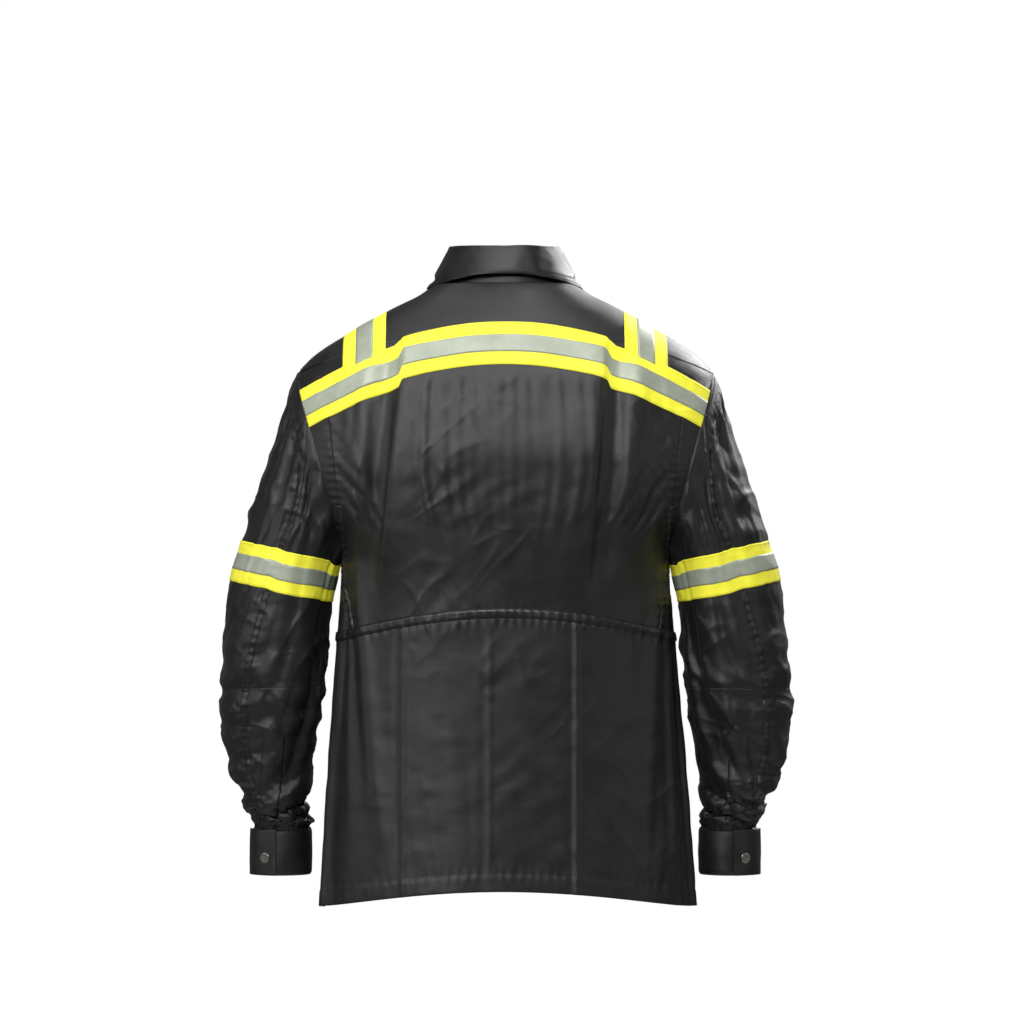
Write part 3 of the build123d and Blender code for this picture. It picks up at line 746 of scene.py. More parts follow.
def make_body_panels(surface, cloth):
    """The back and front panels, each replacing its CAD shell."""
    pieces = {}
    top = arch(NECK_HEIGHT - 1, NECK_HEIGHT - 1)
    rows = blend_rows(yoke_line, top, np.linspace(0, 1, 70))
    edges = [find_edge(row, False) for row in rows]
    pieces["back_yoke"] = panel("back_yoke_cloth", surface, rows, [e[0][0] for e in edges],
                                [e[1][0] for e in edges], 220, cloth)
    # denser rows near the bottom of the armhole, where its edge turns
    shares = np.sort(np.concatenate([np.linspace(0, 1, 110), np.linspace(0.27, 0.45, 60)]))
    rows = blend_rows(waist_line, yoke_line, shares)
    edges = [find_edge(row, False) for row in rows]
    left = []
    right = []
    for row, edge in zip(rows, edges):
        x = 195.0
        for _ in range(20):
            x = float(side_back_x(row(x)))
        height = float(row(x))
        left.append(max(float(body_u(x, height)), edge[0][0]))
        right.append(min(float(body_u(-x, height)), edge[1][0]))
    pieces["back_upper_panel"] = panel("back_upper_cloth", surface, rows, left, right, 170, cloth)
    pieces["left_back_side_panel"] = panel("left_back_side_cloth", surface, rows,
                                           [e[0][0] for e in edges], left, 34, cloth)
    pieces["right_back_side_panel"] = panel("right_back_side_cloth", surface, rows, right,
                                            [e[1][0] for e in edges], 34, cloth)
    rows = blend_rows(hem_line, waist_line, np.linspace(0, 1, 130))
    edges = [find_edge(row, False) for row in rows]
    pieces["back_lower_panel"] = panel("back_lower_cloth", surface, rows, [e[0][0] for e in edges],
                                       [e[1][0] for e in edges], 240, cloth)
    shares = np.sort(np.concatenate([np.linspace(0, 1, 230), np.linspace(0.568, 0.60, 30),
                                     np.linspace(0.83, 0.88, 20)]))
    rows = blend_rows(front_hem_line, top, shares)
    edges = [find_edge(row, True) for row in rows]
    heights = np.array([float(row(FRONT_EDGE)) for row in rows])
    inner = body_u(FRONT_EDGE, heights, front=True)
    # u grows from the right side (0.5) over the front's middle (0.75) to the left (1.0)
    pieces["left_front_panel"] = panel("left_front_cloth", surface, rows, inner,
                                       [e[1][0] for e in edges], 120, cloth)
    pieces["right_front_panel"] = panel("right_front_cloth", surface, rows,
                                        [e[0][0] for e in edges], 1.5 - inner, 120, cloth)
    return pieces


def front_hem_line(x):
    return 4.0 - 4.0 * (np.asarray(x) / 220) ** 2


# ---- paths ---------------------------------------------------------------------------------
def armhole_path(side, count=160):
    """u and height of the armhole's edge on the body, once round from its lowest point."""
    turn = np.linspace(0, 2 * np.pi, count)
    low, high = ARM_LOW[1] + 0.5, ARM_HIGH[1] + 0.5
    height = (low + high) / 2 - (high - low) / 2 * np.cos(turn)
    u = body_u(np.minimum(arm_x(height), half_width(height) - 0.01), height)
    u = np.where(turn > np.pi, -u, u)
    return (u if side > 0 else 0.5 - u), height


def across_back(line, inset=0.0):
    """The u and height of an arched line, from edge to edge of the back."""
    edge = find_edge(line, False)
    u = np.linspace(edge[0][0] + inset, edge[1][0] - inset, 400)
    return u, row_points(line, u)


def fit_sleeve_heads(body, sleeves):
    """Moves each sleeve's upper end so that it meets the armhole's edge."""
    for name, side in SIDES:
        surface = sleeves[name]
        u, height = armhole_path(side, 400)
        edge = body.coarse(u, height)
        middle = np.array([side * 217.5, 0.0, 522.5])
        along = np.array([side * 0.2592, 0.0, 0.9658])
        turn = np.arctan2((edge - middle) @ along, edge[:, 1])
        radius = np.linalg.norm(edge - middle, axis=1)
        order = np.argsort(turn)
        turn, radius = turn[order], radius[order]
        grid = surface.grid
        rows, cols = grid.shape[:2]
        heights = np.linspace(surface.low, surface.high, rows)
        gap = side * grid[..., 0] - arm_x(heights)[:, None]
        starts = np.zeros(cols)
        for c in range(cols):
            r = rows - 1
            while r > 0 and gap[r, c] <= 0:
                r -= 1
            share = gap[r, c] / max(gap[r, c] - gap[min(r + 1, rows - 1), c], 1e-6)
            point = grid[r, c] + share * (grid[min(r + 1, rows - 1), c] - grid[r, c])
            starts[c] = heights[r] + share * (heights[1] - heights[0])
            angle = math.atan2((point - middle) @ along, point[1])
            reach = np.interp(angle, turn, radius, period=2 * np.pi)
            towards = math.cos(angle) * np.array([0, 1, 0]) + math.sin(angle) * along
            goal = middle + reach * towards
            distance = np.linalg.norm(grid[:, c] - point, axis=1)
            grid[:, c] += (goal - point) * np.exp(-((distance / 40) ** 2))[:, None]
        surface.starts = starts


def sleeve_start(surface, u):
    cols = len(surface.starts)
    return np.interp(u % 1.0, np.arange(cols + 1) / cols, np.append(surface.starts,
                                                                   surface.starts[0]))


# ---- materials ---------------------------------------------------------------------------
class Nodes:
    """A short way to build a node material."""

    def __init__(self, name):
        self.material = bpy.data.materials.new(name)
        self.material.use_nodes = True
        self.tree = self.material.node_tree
        self.shader = self.tree.nodes["Principled BSDF"]

    def add(self, kind, **values):
        node = self.tree.nodes.new(kind)
        for key, value in values.items():
            if hasattr(node, key):
                setattr(node, key, value)
            else:
                node.inputs[key.replace("_", " ")].default_value = value
        return node

    def link(self, source, target):
        self.tree.links.new(source, target)

    def set(self, **values):
        for key, value in values.items():
            self.shader.inputs[key.replace("_", " ")].default_value = value

    def ramp(self, source, low, high, low_value, high_value):
        node = self.add("ShaderNodeMapRange")
        node.inputs["From Min"].default_value = low
        node.inputs["From Max"].default_value = high
        node.inputs["To Min"].default_value = low_value
        node.inputs["To Max"].default_value = high_value
        self.link(source, node.inputs["Value"])
        return node.outputs["Result"]

    def math(self, operation, a, b=None):
        node = self.add("ShaderNodeMath", operation=operation)
        for index, value in enumerate((a, b)):
            if value is None:
                continue
            if isinstance(value, (int, float)):
                node.inputs[index].default_value = value
            else:
                self.link(value, node.inputs[index])
        return node.outputs[0]

    def mix(self, share, a, b):
        node = self.add("ShaderNodeMix", data_type="RGBA")
        self.link(share, node.inputs[0])
        node.inputs[6].default_value = (*a, 1)
        node.inputs[7].default_value = (*b, 1)
        return node.outputs[2]

    def bump(self, height, strength, distance):
        node = self.add("ShaderNodeBump")
        node.inputs["Strength"].default_value = strength
        node.inputs["Distance"].default_value = distance
        self.link(height, node.inputs["Height"])
        self.link(node.outputs["Normal"], self.shader.inputs["Normal"])


def weave(m, coordinates, threads, slope):
    """Height of a twill: slanting ribs over fine threads, threads to the metre."""
    split = m.add("ShaderNodeSeparateXYZ")
    m.link(coordinates, split.inputs[0])
    x, y = split.outputs[0], split.outputs[1]
    rib = m.math("ADD", m.math("MULTIPLY", x, threads), m.math("MULTIPLY", y, threads * slope))
    rib = m.math("SINE", m.math("MULTIPLY", rib, 2 * math.pi))
    cross = m.math("SINE", m.math("MULTIPLY", y, 2 * math.pi * threads * 1.6))
    return m.math("ADD", rib, m.math("MULTIPLY", cross, 0.4))


def cloth_material(name, colour, lighter, uv=True):
    m = Nodes(name)
    coordinates = m.add("ShaderNodeTexCoord")
    where = coordinates.outputs["UV"] if uv else coordinates.outputs["Object"]
    fuzz = m.add("ShaderNodeTexNoise", Scale=38.0, Detail=5.0, Roughness=0.6)
    m.link(coordinates.outputs["Object"], fuzz.inputs["Vector"])
    m.link(m.mix(m.ramp(fuzz.outputs["Fac"], 0.35, 0.68, 0, 1), colour, lighter),
           m.shader.inputs["Base Color"])
    m.link(m.ramp(fuzz.outputs["Fac"], 0.3, 0.7, 0.42, 0.52), m.shader.inputs["Roughness"])
    m.set(Specular_IOR_Level=0.50, Sheen_Weight=0.04, Sheen_Roughness=0.35,
          Sheen_Tint=(0.9, 0.93, 1.0, 1))
    height = weave(m, where, 900.0, 1.0)
    slub = m.add("ShaderNodeTexNoise", Scale=420.0, Detail=2.0)
    m.link(coordinates.outputs["Object"], slub.inputs["Vector"])
    m.bump(m.math("ADD", height, m.math("MULTIPLY", slub.outputs["Fac"], 1.4)), 0.35, 0.00012)
    return m.material


def tape_material():
    m = Nodes("lime_tape")
    coordinates = m.add("ShaderNodeTexCoord")
    grain = m.add("ShaderNodeTexNoise", Scale=60.0, Detail=4.0)
    m.link(coordinates.outputs["Object"], grain.inputs["Vector"])
    m.link(m.mix(m.ramp(grain.outputs["Fac"], 0.3, 0.7, 0, 1), (0.84, 0.80, 0.045),
                 (0.92, 0.88, 0.07)), m.shader.inputs["Base Color"])
    # painted glow: a faint lime emission makes the tape glow as if lit, though it is no lamp
    m.set(Roughness=0.62, Specular_IOR_Level=0.25, Emission_Color=(0.8, 0.78, 0.02, 1),
          Emission_Strength=0.14)
    m.bump(weave(m, coordinates.outputs["UV"], 1100.0, 0.0), 0.35, 0.00012)
    return m.material


def silver_material():
    m = Nodes("silver_tape")
    coordinates = m.add("ShaderNodeTexCoord")
    beads = m.add("ShaderNodeTexVoronoi", Scale=1400.0)
    m.link(coordinates.outputs["Object"], beads.inputs["Vector"])
    wear = m.add("ShaderNodeTexNoise", Scale=24.0, Detail=6.0, Roughness=0.65)
    m.link(coordinates.outputs["Object"], wear.inputs["Vector"])
    m.link(m.mix(m.ramp(wear.outputs["Fac"], 0.32, 0.68, 0, 1), (0.30, 0.33, 0.26),
                 (0.42, 0.46, 0.37)), m.shader.inputs["Base Color"])
    m.link(m.ramp(wear.outputs["Fac"], 0.3, 0.7, 0.46, 0.58), m.shader.inputs["Roughness"])
    m.set(Metallic=0.25, Specular_IOR_Level=0.5)
    m.bump(beads.outputs["Distance"], 0.3, 0.0002)
    return m.material


def metal_material(name, colour, roughness):
    m = Nodes(name)
    coordinates = m.add("ShaderNodeTexCoord")
    wear = m.add("ShaderNodeTexNoise", Scale=300.0, Detail=5.0)
    m.link(coordinates.outputs["Object"], wear.inputs["Vector"])
    m.link(m.mix(m.ramp(wear.outputs["Fac"], 0.35, 0.7, 0, 1), [c * 0.8 for c in colour], colour),
           m.shader.inputs["Base Color"])
    m.link(m.ramp(wear.outputs["Fac"], 0.3, 0.7, roughness, roughness + 0.12),
           m.shader.inputs["Roughness"])
    m.set(Metallic=1.0)
    m.bump(wear.outputs["Fac"], 0.2, 0.0001)
    return m.material


def moulded_material(name, colour):
    m = Nodes(name)
    coordinates = m.add("ShaderNodeTexCoord")
    grain = m.add("ShaderNodeTexNoise", Scale=900.0, Detail=3.0)
    m.link(coordinates.outputs["Object"], grain.inputs["Vector"])
    m.link(m.mix(grain.outputs["Fac"], colour, [c * 1.5 for c in colour]),
           m.shader.inputs["Base Color"])
    m.link(m.ramp(grain.outputs["Fac"], 0.3, 0.7, 0.34, 0.46), m.shader.inputs["Roughness"])
    m.bump(grain.outputs["Fac"], 0.2, 0.0001)
    return m.material


CLOTH = cloth_material("black_cloth", (0.0050, 0.0051, 0.0053), (0.0085, 0.0087, 0.0089))
THREAD_BLACK = cloth_material("black_thread", (0.009, 0.009, 0.0094), (0.015, 0.015, 0.0155),
                              False)
LIME = tape_material()
LIME_THREAD = cloth_material("lime_thread", (0.55, 0.6, 0.01), (0.7, 0.75, 0.02), False)
SILVER = silver_material()
SNAP = metal_material("snap_metal", (0.42, 0.39, 0.35), 0.28)
ZIP_PLASTIC = moulded_material("zip_metal", (0.012, 0.012, 0.013))

# ---- cloth ---------------------------------------------------------------------------------
body, sleeves = make_surfaces()
fit_sleeve_heads(body, sleeves)
body.relief = body_relief
for side_name, side_sign in SIDES:
    sleeves[side_name].relief = sleeve_relief(side_sign)


body_panels = make_body_panels(body, CLOTH)
for node, piece in body_panels.items():
    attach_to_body(piece, "body")
    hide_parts(node)


def blend_at_shoulder(obj):
    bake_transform(obj)


def blend_at_elbow(obj):
    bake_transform(obj)


def sleeve_panel(name, surface, side, from_seam, to_seam, upper, cols, material):
    """One lengthwise half of a sleeve, above or below the elbow."""
    rows = 150 if upper else 120
    share = np.linspace(0, 1, cols)
    t = np.linspace(0, 1, rows)
    if upper:
        guess = np.full(cols, 400.0)
        u_top = from_seam(guess) + (to_seam(guess) - from_seam(guess)) * share
        top = sleeve_start(surface, side * u_top)
        height = SLEEVE_SPLIT + t[:, None] * (top - SLEEVE_SPLIT)[None, :]
    else:
        height = CUFF_TOP - 2 + t[:, None] * (SLEEVE_SPLIT - CUFF_TOP + 2) + 0 * share[None, :]
    u = from_seam(height) + (to_seam(height) - from_seam(height)) * share[None, :]
    if upper:
        u = u * (1 - t[:, None] ** 8) + u_top[None, :] * t[:, None] ** 8
    u = side * u
    outer = surface.at(u, height)
    inner = surface.at(u, height, np.full(u.shape, -0.9))
    uvs = np.stack([u * SLEEVE_GIRTH, height], axis=-1)
    draft(name, surface, u, height)
    return shell_piece(name, outer, inner, material, uvs)


def front_seam_before(height):
    return sleeve_front_seam(height) - 1


def finish_piece(obj, body_name, nodes):
    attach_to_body(obj, body_name)
    if nodes:
        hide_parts(*nodes)


for name, side in SIDES:
    surface = sleeves[name]
    for half, ends, cols in (("outer", (front_seam_before, sleeve_back_seam), 110),
                             ("under", (sleeve_back_seam, sleeve_front_seam), 100)):
        for level, upper in (("upper", True), ("lower", False)):
            piece = sleeve_panel(f"{name}_sleeve_{level}_{half}_cloth", surface, side, *ends,
                                 upper, cols, CLOTH)
            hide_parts(f"{name}_sleeve_{level}_{half}")
            if upper:
                blend_at_shoulder(piece)
            else:
                blend_at_elbow(piece)

# ---- tapes ---------------------------------------------------------------------------------
TAPE_LIFT = 0.9
SILVER_LIFT = 1.25
MARGIN = (TAPE_WIDTH - SILVER_WIDTH) / 2


def band(name, surface, u, height, lift, thick, material, across):
    """A flat tape over a grid of u and height."""
    outer = surface.at(u, height, np.full(u.shape, lift))
    inner = surface.at(u, height, np.full(u.shape, lift - thick))
    point = surface.coarse(u, height)
    run = np.cumsum(np.linalg.norm(np.diff(point, axis=1, prepend=point[:, :1]), axis=-1), axis=1)
    uvs = np.stack([run, across[:, None] + 0 * run], axis=-1)
    draft(name, surface, u, height)
    return shell_piece(name, outer, inner, material, uvs)


def line_band(name, surface, line, low, high, front, lift, thick, material, cols=360):
    """A tape between two lines that run low and high above an arched line."""
    across = np.linspace(low, high, max(int((high - low) / 2.5), 6))
    u = []
    height = []
    for offset in across:
        def shifted(x, offset=offset):
            return line(x) + offset
        edge = find_edge(shifted, front)
        row = np.linspace(edge[0][0], edge[1][0], cols)
        u.append(row)
        height.append(row_points(shifted, row))
    return band(name, surface, np.array(u), np.array(height), lift, thick, material, across)


lime_threads = {}


def back_tape_line(x):
    return tape_top(x) - TAPE_WIDTH + tape_step(x)


piece = line_band("back_tape_band", body, back_tape_line, 0, TAPE_WIDTH, False, TAPE_LIFT, 0.7,
                  LIME)
finish_piece(piece, "body", ["back_tape"])
for offset in (2.2, TAPE_WIDTH - 2.2):
    def stitch_line(x, offset=offset):
        return back_tape_line(x) + offset
    edge = find_edge(stitch_line, False)
    row = np.linspace(edge[0][0], edge[1][0], 360)
    part = stitch_part(body, row, row_points(stitch_line, row), 0.0, TAPE_LIFT)
    lime_threads.setdefault("body", []).append(part)
piece = line_band("back_silver_band", body, back_tape_line, MARGIN, MARGIN + SILVER_WIDTH, False,
                  SILVER_LIFT, 0.4, SILVER)
finish_piece(piece, "body", ["back_silver_strip"])


def add_lime_rows(key, surface, u, height, lift):
    """A row of stitches near each edge of a tape, given its grid of u and height."""
    for row in (1, -2):
        part = stitch_part(surface, u[row], height[row], 0.0, lift)
        lime_threads.setdefault(key, []).append(part)


BRACE_FRONT_LOW = CHEST_TAPE_LOW + TAPE_WIDTH - 4
shoulder_heights = np.linspace(620, 735, 400)


def brace_grid(side, low_x, high_x):
    """u and height of a strip over one shoulder, from the back tape to the chest tape."""
    x = np.linspace(low_x, high_x, max(int((high_x - low_x) / 2.5), 6))
    ridge = np.interp(-x, -half_width(shoulder_heights), shoulder_heights) - 0.05
    t = np.linspace(-1, 1, 130)[:, None]
    back_low = tape_top(x) + tape_step(x) - 5
    low = np.where(t > 0, back_low, BRACE_FRONT_LOW)
    height = ridge - (ridge - low) * np.abs(t) ** 1.6
    u = body_u(side * x[None, :] + 0 * t, height)
    around = 0 if side > 0 else 1  # keeps u in one run as the strip passes the side
    return np.where(t > 0, u, around - u), height


def chest_grid(side, low, high):
    """u and height of a strip across one front panel."""
    across = np.linspace(low, high, max(int((high - low) / 2.5), 6))
    u = []
    for height in across:
        def row(x, height=height):
            return height + 0 * np.asarray(x)
        edge = find_edge(row, True)
        start = float(body_u(FRONT_EDGE + 4, height, front=True))
        if side > 0:
            u.append(np.linspace(start, edge[1][0], 150))
        else:
            u.append(np.linspace(edge[0][0], 1.5 - start, 150))
    return np.array(u), across[:, None] + 0 * np.array(u), across


for name, side in SIDES:
    for label, slot_name, lift, thick, material, edge in (
        ("tape", "lime_tape", TAPE_LIFT - 0.25, 0.7, LIME, TAPE_WIDTH / 2),
        ("silver_strip", "silver_tape", SILVER_LIFT - 0.25, 0.4, SILVER, SILVER_WIDTH / 2),
    ):
        u, height = brace_grid(side, BRACE_X - edge, BRACE_X + edge)
        across = np.linspace(-edge, edge, u.shape[1])
        piece = band(f"{name}_brace_{label}_band", body, u.T, height.T, lift, thick, material,
                     across)
        finish_piece(piece, "body", [f"{name}_brace_{label}"])
        if label == "tape":
            add_lime_rows("body", body, u.T, height.T, lift)
        middle = CHEST_TAPE_LOW + TAPE_WIDTH / 2
        u, height, across = chest_grid(side, middle - edge, middle + edge)
        piece = band(f"{name}_chest_{label}_band", body, u, height, lift + 0.25, thick, material,
                     across)
        finish_piece(piece, "body", [f"{name}_chest_{label}"])
        if label == "tape":
            add_lime_rows("body", body, u, height, lift + 0.25)
        u = np.linspace(0, 1, 220)
        rows = []
        across = np.linspace(-edge, edge, max(int(edge), 6))
        for offset in across:
            height = np.full(len(u), ARM_TAPE_HEIGHT)
            for _ in range(20):
                height = 0.5 * height + 0.5 * (arm_band(sleeve_base(side * u, height)[:, 0])
                                               + offset)
            rows.append(height)
        height = np.array(rows)
        piece = band(f"{name}_arm_{label}_band", sleeves[name], u + 0 * height, height,
                     lift + 0.25, thick, material, across)
        blend_at_shoulder(piece)
        if label == "tape":
            add_lime_rows(f"{name}_upper", sleeves[name], u + 0 * height, height, lift + 0.25)
        node = f"{name}_arm_tape" if label == "tape" else f"{name}_arm_silver_strip"
        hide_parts(node)

# ---- collar -----------------------------------------------------------------------------------
STAND_TOP = 771.0
ROLL = 2.4
LEAF_LENGTH = 48.0


def ellipse(u, half_x, half_y, middle_y, height):
    angle = 2 * np.pi * u
    return np.stack([half_x * np.cos(angle), middle_y + half_y * np.sin(angle),
                     height + 0 * angle], axis=-1)


def stand_shape(u, height):
    drop = (STAND_TOP - height) / 41.0
    return ellipse(u, 61.5 + 17 * drop, 54 + 16 * drop, -4 - 4 * drop, height)


def leaf_edge_height(u):
    """Lower edge of the collar leaf: high at the back, with a point at each front end."""
    away = np.abs((u - 0.25 + 0.5) % 1.0 - 0.5) * 2  # 0 at the back, 1 at the front
    return 739 - 15 * smoothstep(0.05, 0.5, away) - 20 * smoothstep(0.62, 0.94, away)


def leaf_shape(u, height):
    """A point of the leaf, from its roll line (height 0) down to its edge (-LEAF_LENGTH)."""
    share = np.clip(-height / LEAF_LENGTH, -0.2, 1.02)
    turn = np.pi * (1 - np.clip(share / 0.12, 0, 1))
    edge = leaf_edge_height(u)
    down = np.clip((share - 0.12) / 0.88, 0, 1.03)
    height = np.where(share < 0.12, STAND_TOP + ROLL * np.sin(turn),
                      STAND_TOP - (STAND_TOP - edge) * down)
    grow = np.where(share < 0.12, ROLL * np.cos(turn), ROLL)
    fall = (STAND_TOP - height) / 45.0
    half_x = 64 + 25 * np.maximum(fall, 0) + grow
    half_y = 56.5 + 26 * np.maximum(fall, 0) + grow
    middle = -4 - 5 * np.maximum(fall, 0)
    point = ellipse(u, half_x, half_y, middle, height)
    # the leaf rests on the yoke and the chest where those are nearer than its own cone
    low = np.minimum(height, 735)
    flat = np.stack([point[..., 0], point[..., 1]], axis=-1)
    depth = np.where(flat[..., 1] > 0, back_depth(low), front_depth(low)) + 5.5
    width = half_width(low) + 5.5
    size = ((np.abs(flat[..., 0]) / width) ** ROUNDNESS
            + (np.abs(flat[..., 1]) / depth) ** ROUNDNESS)
    pull = np.where(height < 744, np.clip(size ** (-1 / ROUNDNESS), 0, 1), 1.0)
    weight = smoothstep(746, 734, height)
    point[..., :2] *= (1 + (pull - 1) * weight)[..., None]
    return point


def leaf_relief(u, height, point):
    return 1.1 * noise(point, (30, 30, 16), 51) + 0.45 * noise(point, (12, 12, 8), 52)


leaf = Form(leaf_shape, leaf_relief)
stand = Form(stand_shape, lambda u, height, point: 0.5 * noise(point, (25, 25, 12), 53))


def form_piece(name, form, u_low, u_high, low, high, cols, rows, thick, material, lift=0.0):
    """A piece of cloth over a patch of a form."""
    height, u = np.meshgrid(np.linspace(low, high, rows), np.linspace(u_low, u_high, cols),
                            indexing="ij")
    outer = form.at(u, height, np.full(u.shape, lift))
    inner = form.at(u, height, np.full(u.shape, lift - thick))
    draft(name, form, u, height)
    return shell_piece(name, outer, inner, material, np.stack([u * COLLAR_GIRTH, height], axis=-1))


FRONT_GAP = 0.016
leaf_ends = (-0.25 + FRONT_GAP, 0.75 - FRONT_GAP)
leaf_piece = form_piece("collar_leaf_cloth", leaf, *leaf_ends, -LEAF_LENGTH, 0, 260, 44, 1.5,
                        CLOTH)
finish_piece(leaf_piece, "body", ["collar_leaf"])
stand_piece = form_piece("collar_stand_cloth", stand, *leaf_ends, 727, STAND_TOP, 200, 24, 1.6,
                         CLOTH)
finish_piece(stand_piece, "body", ["collar_stand"])

# ---- pockets ---------------------------------------------------------------------------------
POCKET_X = (42.0, 152.0)
POCKET_HEIGHT = (330.0, 474.0)
FLAP_X = (39.0, 155.0)
FLAP_TOP = 508.0
FLAP_LOW = 462.0
flat_body = Form(body_base)


def front_patch(side, x, height):
    u = body_u(x, height, front=True)
    return u if side > 0 else 1.5 - u


def pocket_outline(side, inset):
    """u and height round a pocket's sides and bottom, inset from its edge."""
    (x_low, x_high), (low, high) = POCKET_X, POCKET_HEIGHT
    corner = 14 - inset / 2
    points = np.array([
        (x_low + inset, high), (x_low + inset, low + corner), (x_low + corner, low + inset),
        (x_high - corner, low + inset), (x_high - inset, low + corner), (x_high - inset, high),
    ])
    t = np.linspace(0, len(points) - 1, 200)
    x = np.interp(t, np.arange(len(points)), points[:, 0])
    height = np.interp(t, np.arange(len(points)), points[:, 1])
    return front_patch(side, x, height), height


def flap_low(x):
    return FLAP_LOW + 12 * np.abs(x - (FLAP_X[0] + FLAP_X[1]) / 2) / 58.0


black_threads = {}


def add_thread(key, *parts):
    black_threads.setdefault(key, []).extend(parts)


for name, side in SIDES:
    t = np.linspace(0, 1, 60)[:, None]
    x = np.linspace(*POCKET_X, 60)[None, :]
    corner = np.maximum(14 - np.minimum(x - POCKET_X[0], POCKET_X[1] - x), 0)
    low = POCKET_HEIGHT[0] + corner
    height = low + (POCKET_HEIGHT[1] - low) * t
    u = front_patch(side, x + 0 * t, height)
    piece = band(f"{name}_pocket_cloth", body, u, height, 1.5, 1.2, CLOTH,
                 np.linspace(0, 144, 60))
    finish_piece(piece, "body", [f"{name}_pocket"])
    x = np.linspace(*FLAP_X, 70)[None, :]
    height = FLAP_TOP + (flap_low(x) - FLAP_TOP) * t
    u = front_patch(side, x + 0 * t, height)
    droop = 3.4 + 1.4 * t**2 + 0.5 * np.sin(x / 9) * t**2 + 0 * x
    outer = flat_body.at(u, height, droop)
    inner = flat_body.at(u, height, droop - 1.4)
    uvs = np.stack([x + 0 * t, height], axis=-1)
    draft(f"{name}_pocket_flap_cloth", flat_body, u, height)
    piece = shell_piece(f"{name}_pocket_flap_cloth", outer, inner, CLOTH, uvs)
    finish_piece(piece, f"{name}_pocket_flap", [f"{name}_pocket_flap"])
    for inset in (2.5, 8.5):
        pu, ph = pocket_outline(side, inset)
        add_thread("body", stitch_part(body, pu, ph, 0.0, 1.5))
        edge_x = np.linspace(FLAP_X[0] + inset, FLAP_X[1] - inset, 120)
        edge_h = flap_low(edge_x) + inset
        edge_x = np.concatenate([[edge_x[0]] * 30, edge_x, [edge_x[-1]] * 30])
        edge_h = np.concatenate([np.linspace(FLAP_TOP - 2, edge_h[0], 30), edge_h,
                                 np.linspace(edge_h[-1], FLAP_TOP - 2, 30)])
        eu = front_patch(side, edge_x, edge_h)
        add_thread(f"{name}_pocket_flap", stitch_part(flat_body, eu, edge_h, 0.0, 4.3))

# ---- cuffs, tabs and plackets ---------------------------------------------------------------
TAB_TURN = (15.0 / 360, 82.0 / 360)


def cuff_form(side):
    """One cuff's cloth, as wide as its CAD ring, a little fuller at the middle."""
    x, y, half_x, half_y = CUFF

    def shape(u, height):
        full = 0.6 * np.sin(np.pi * (height - CUFF_LOW) / (CUFF_TOP - CUFF_LOW))
        point = ellipse(side * u, half_x + full, half_y + full, y, height)
        point[..., 0] = side * (point[..., 0] + x)
        return point

    return Form(shape, lambda u, height, point: 0.5 * noise(point, (18, 18, 12), 61 + side))


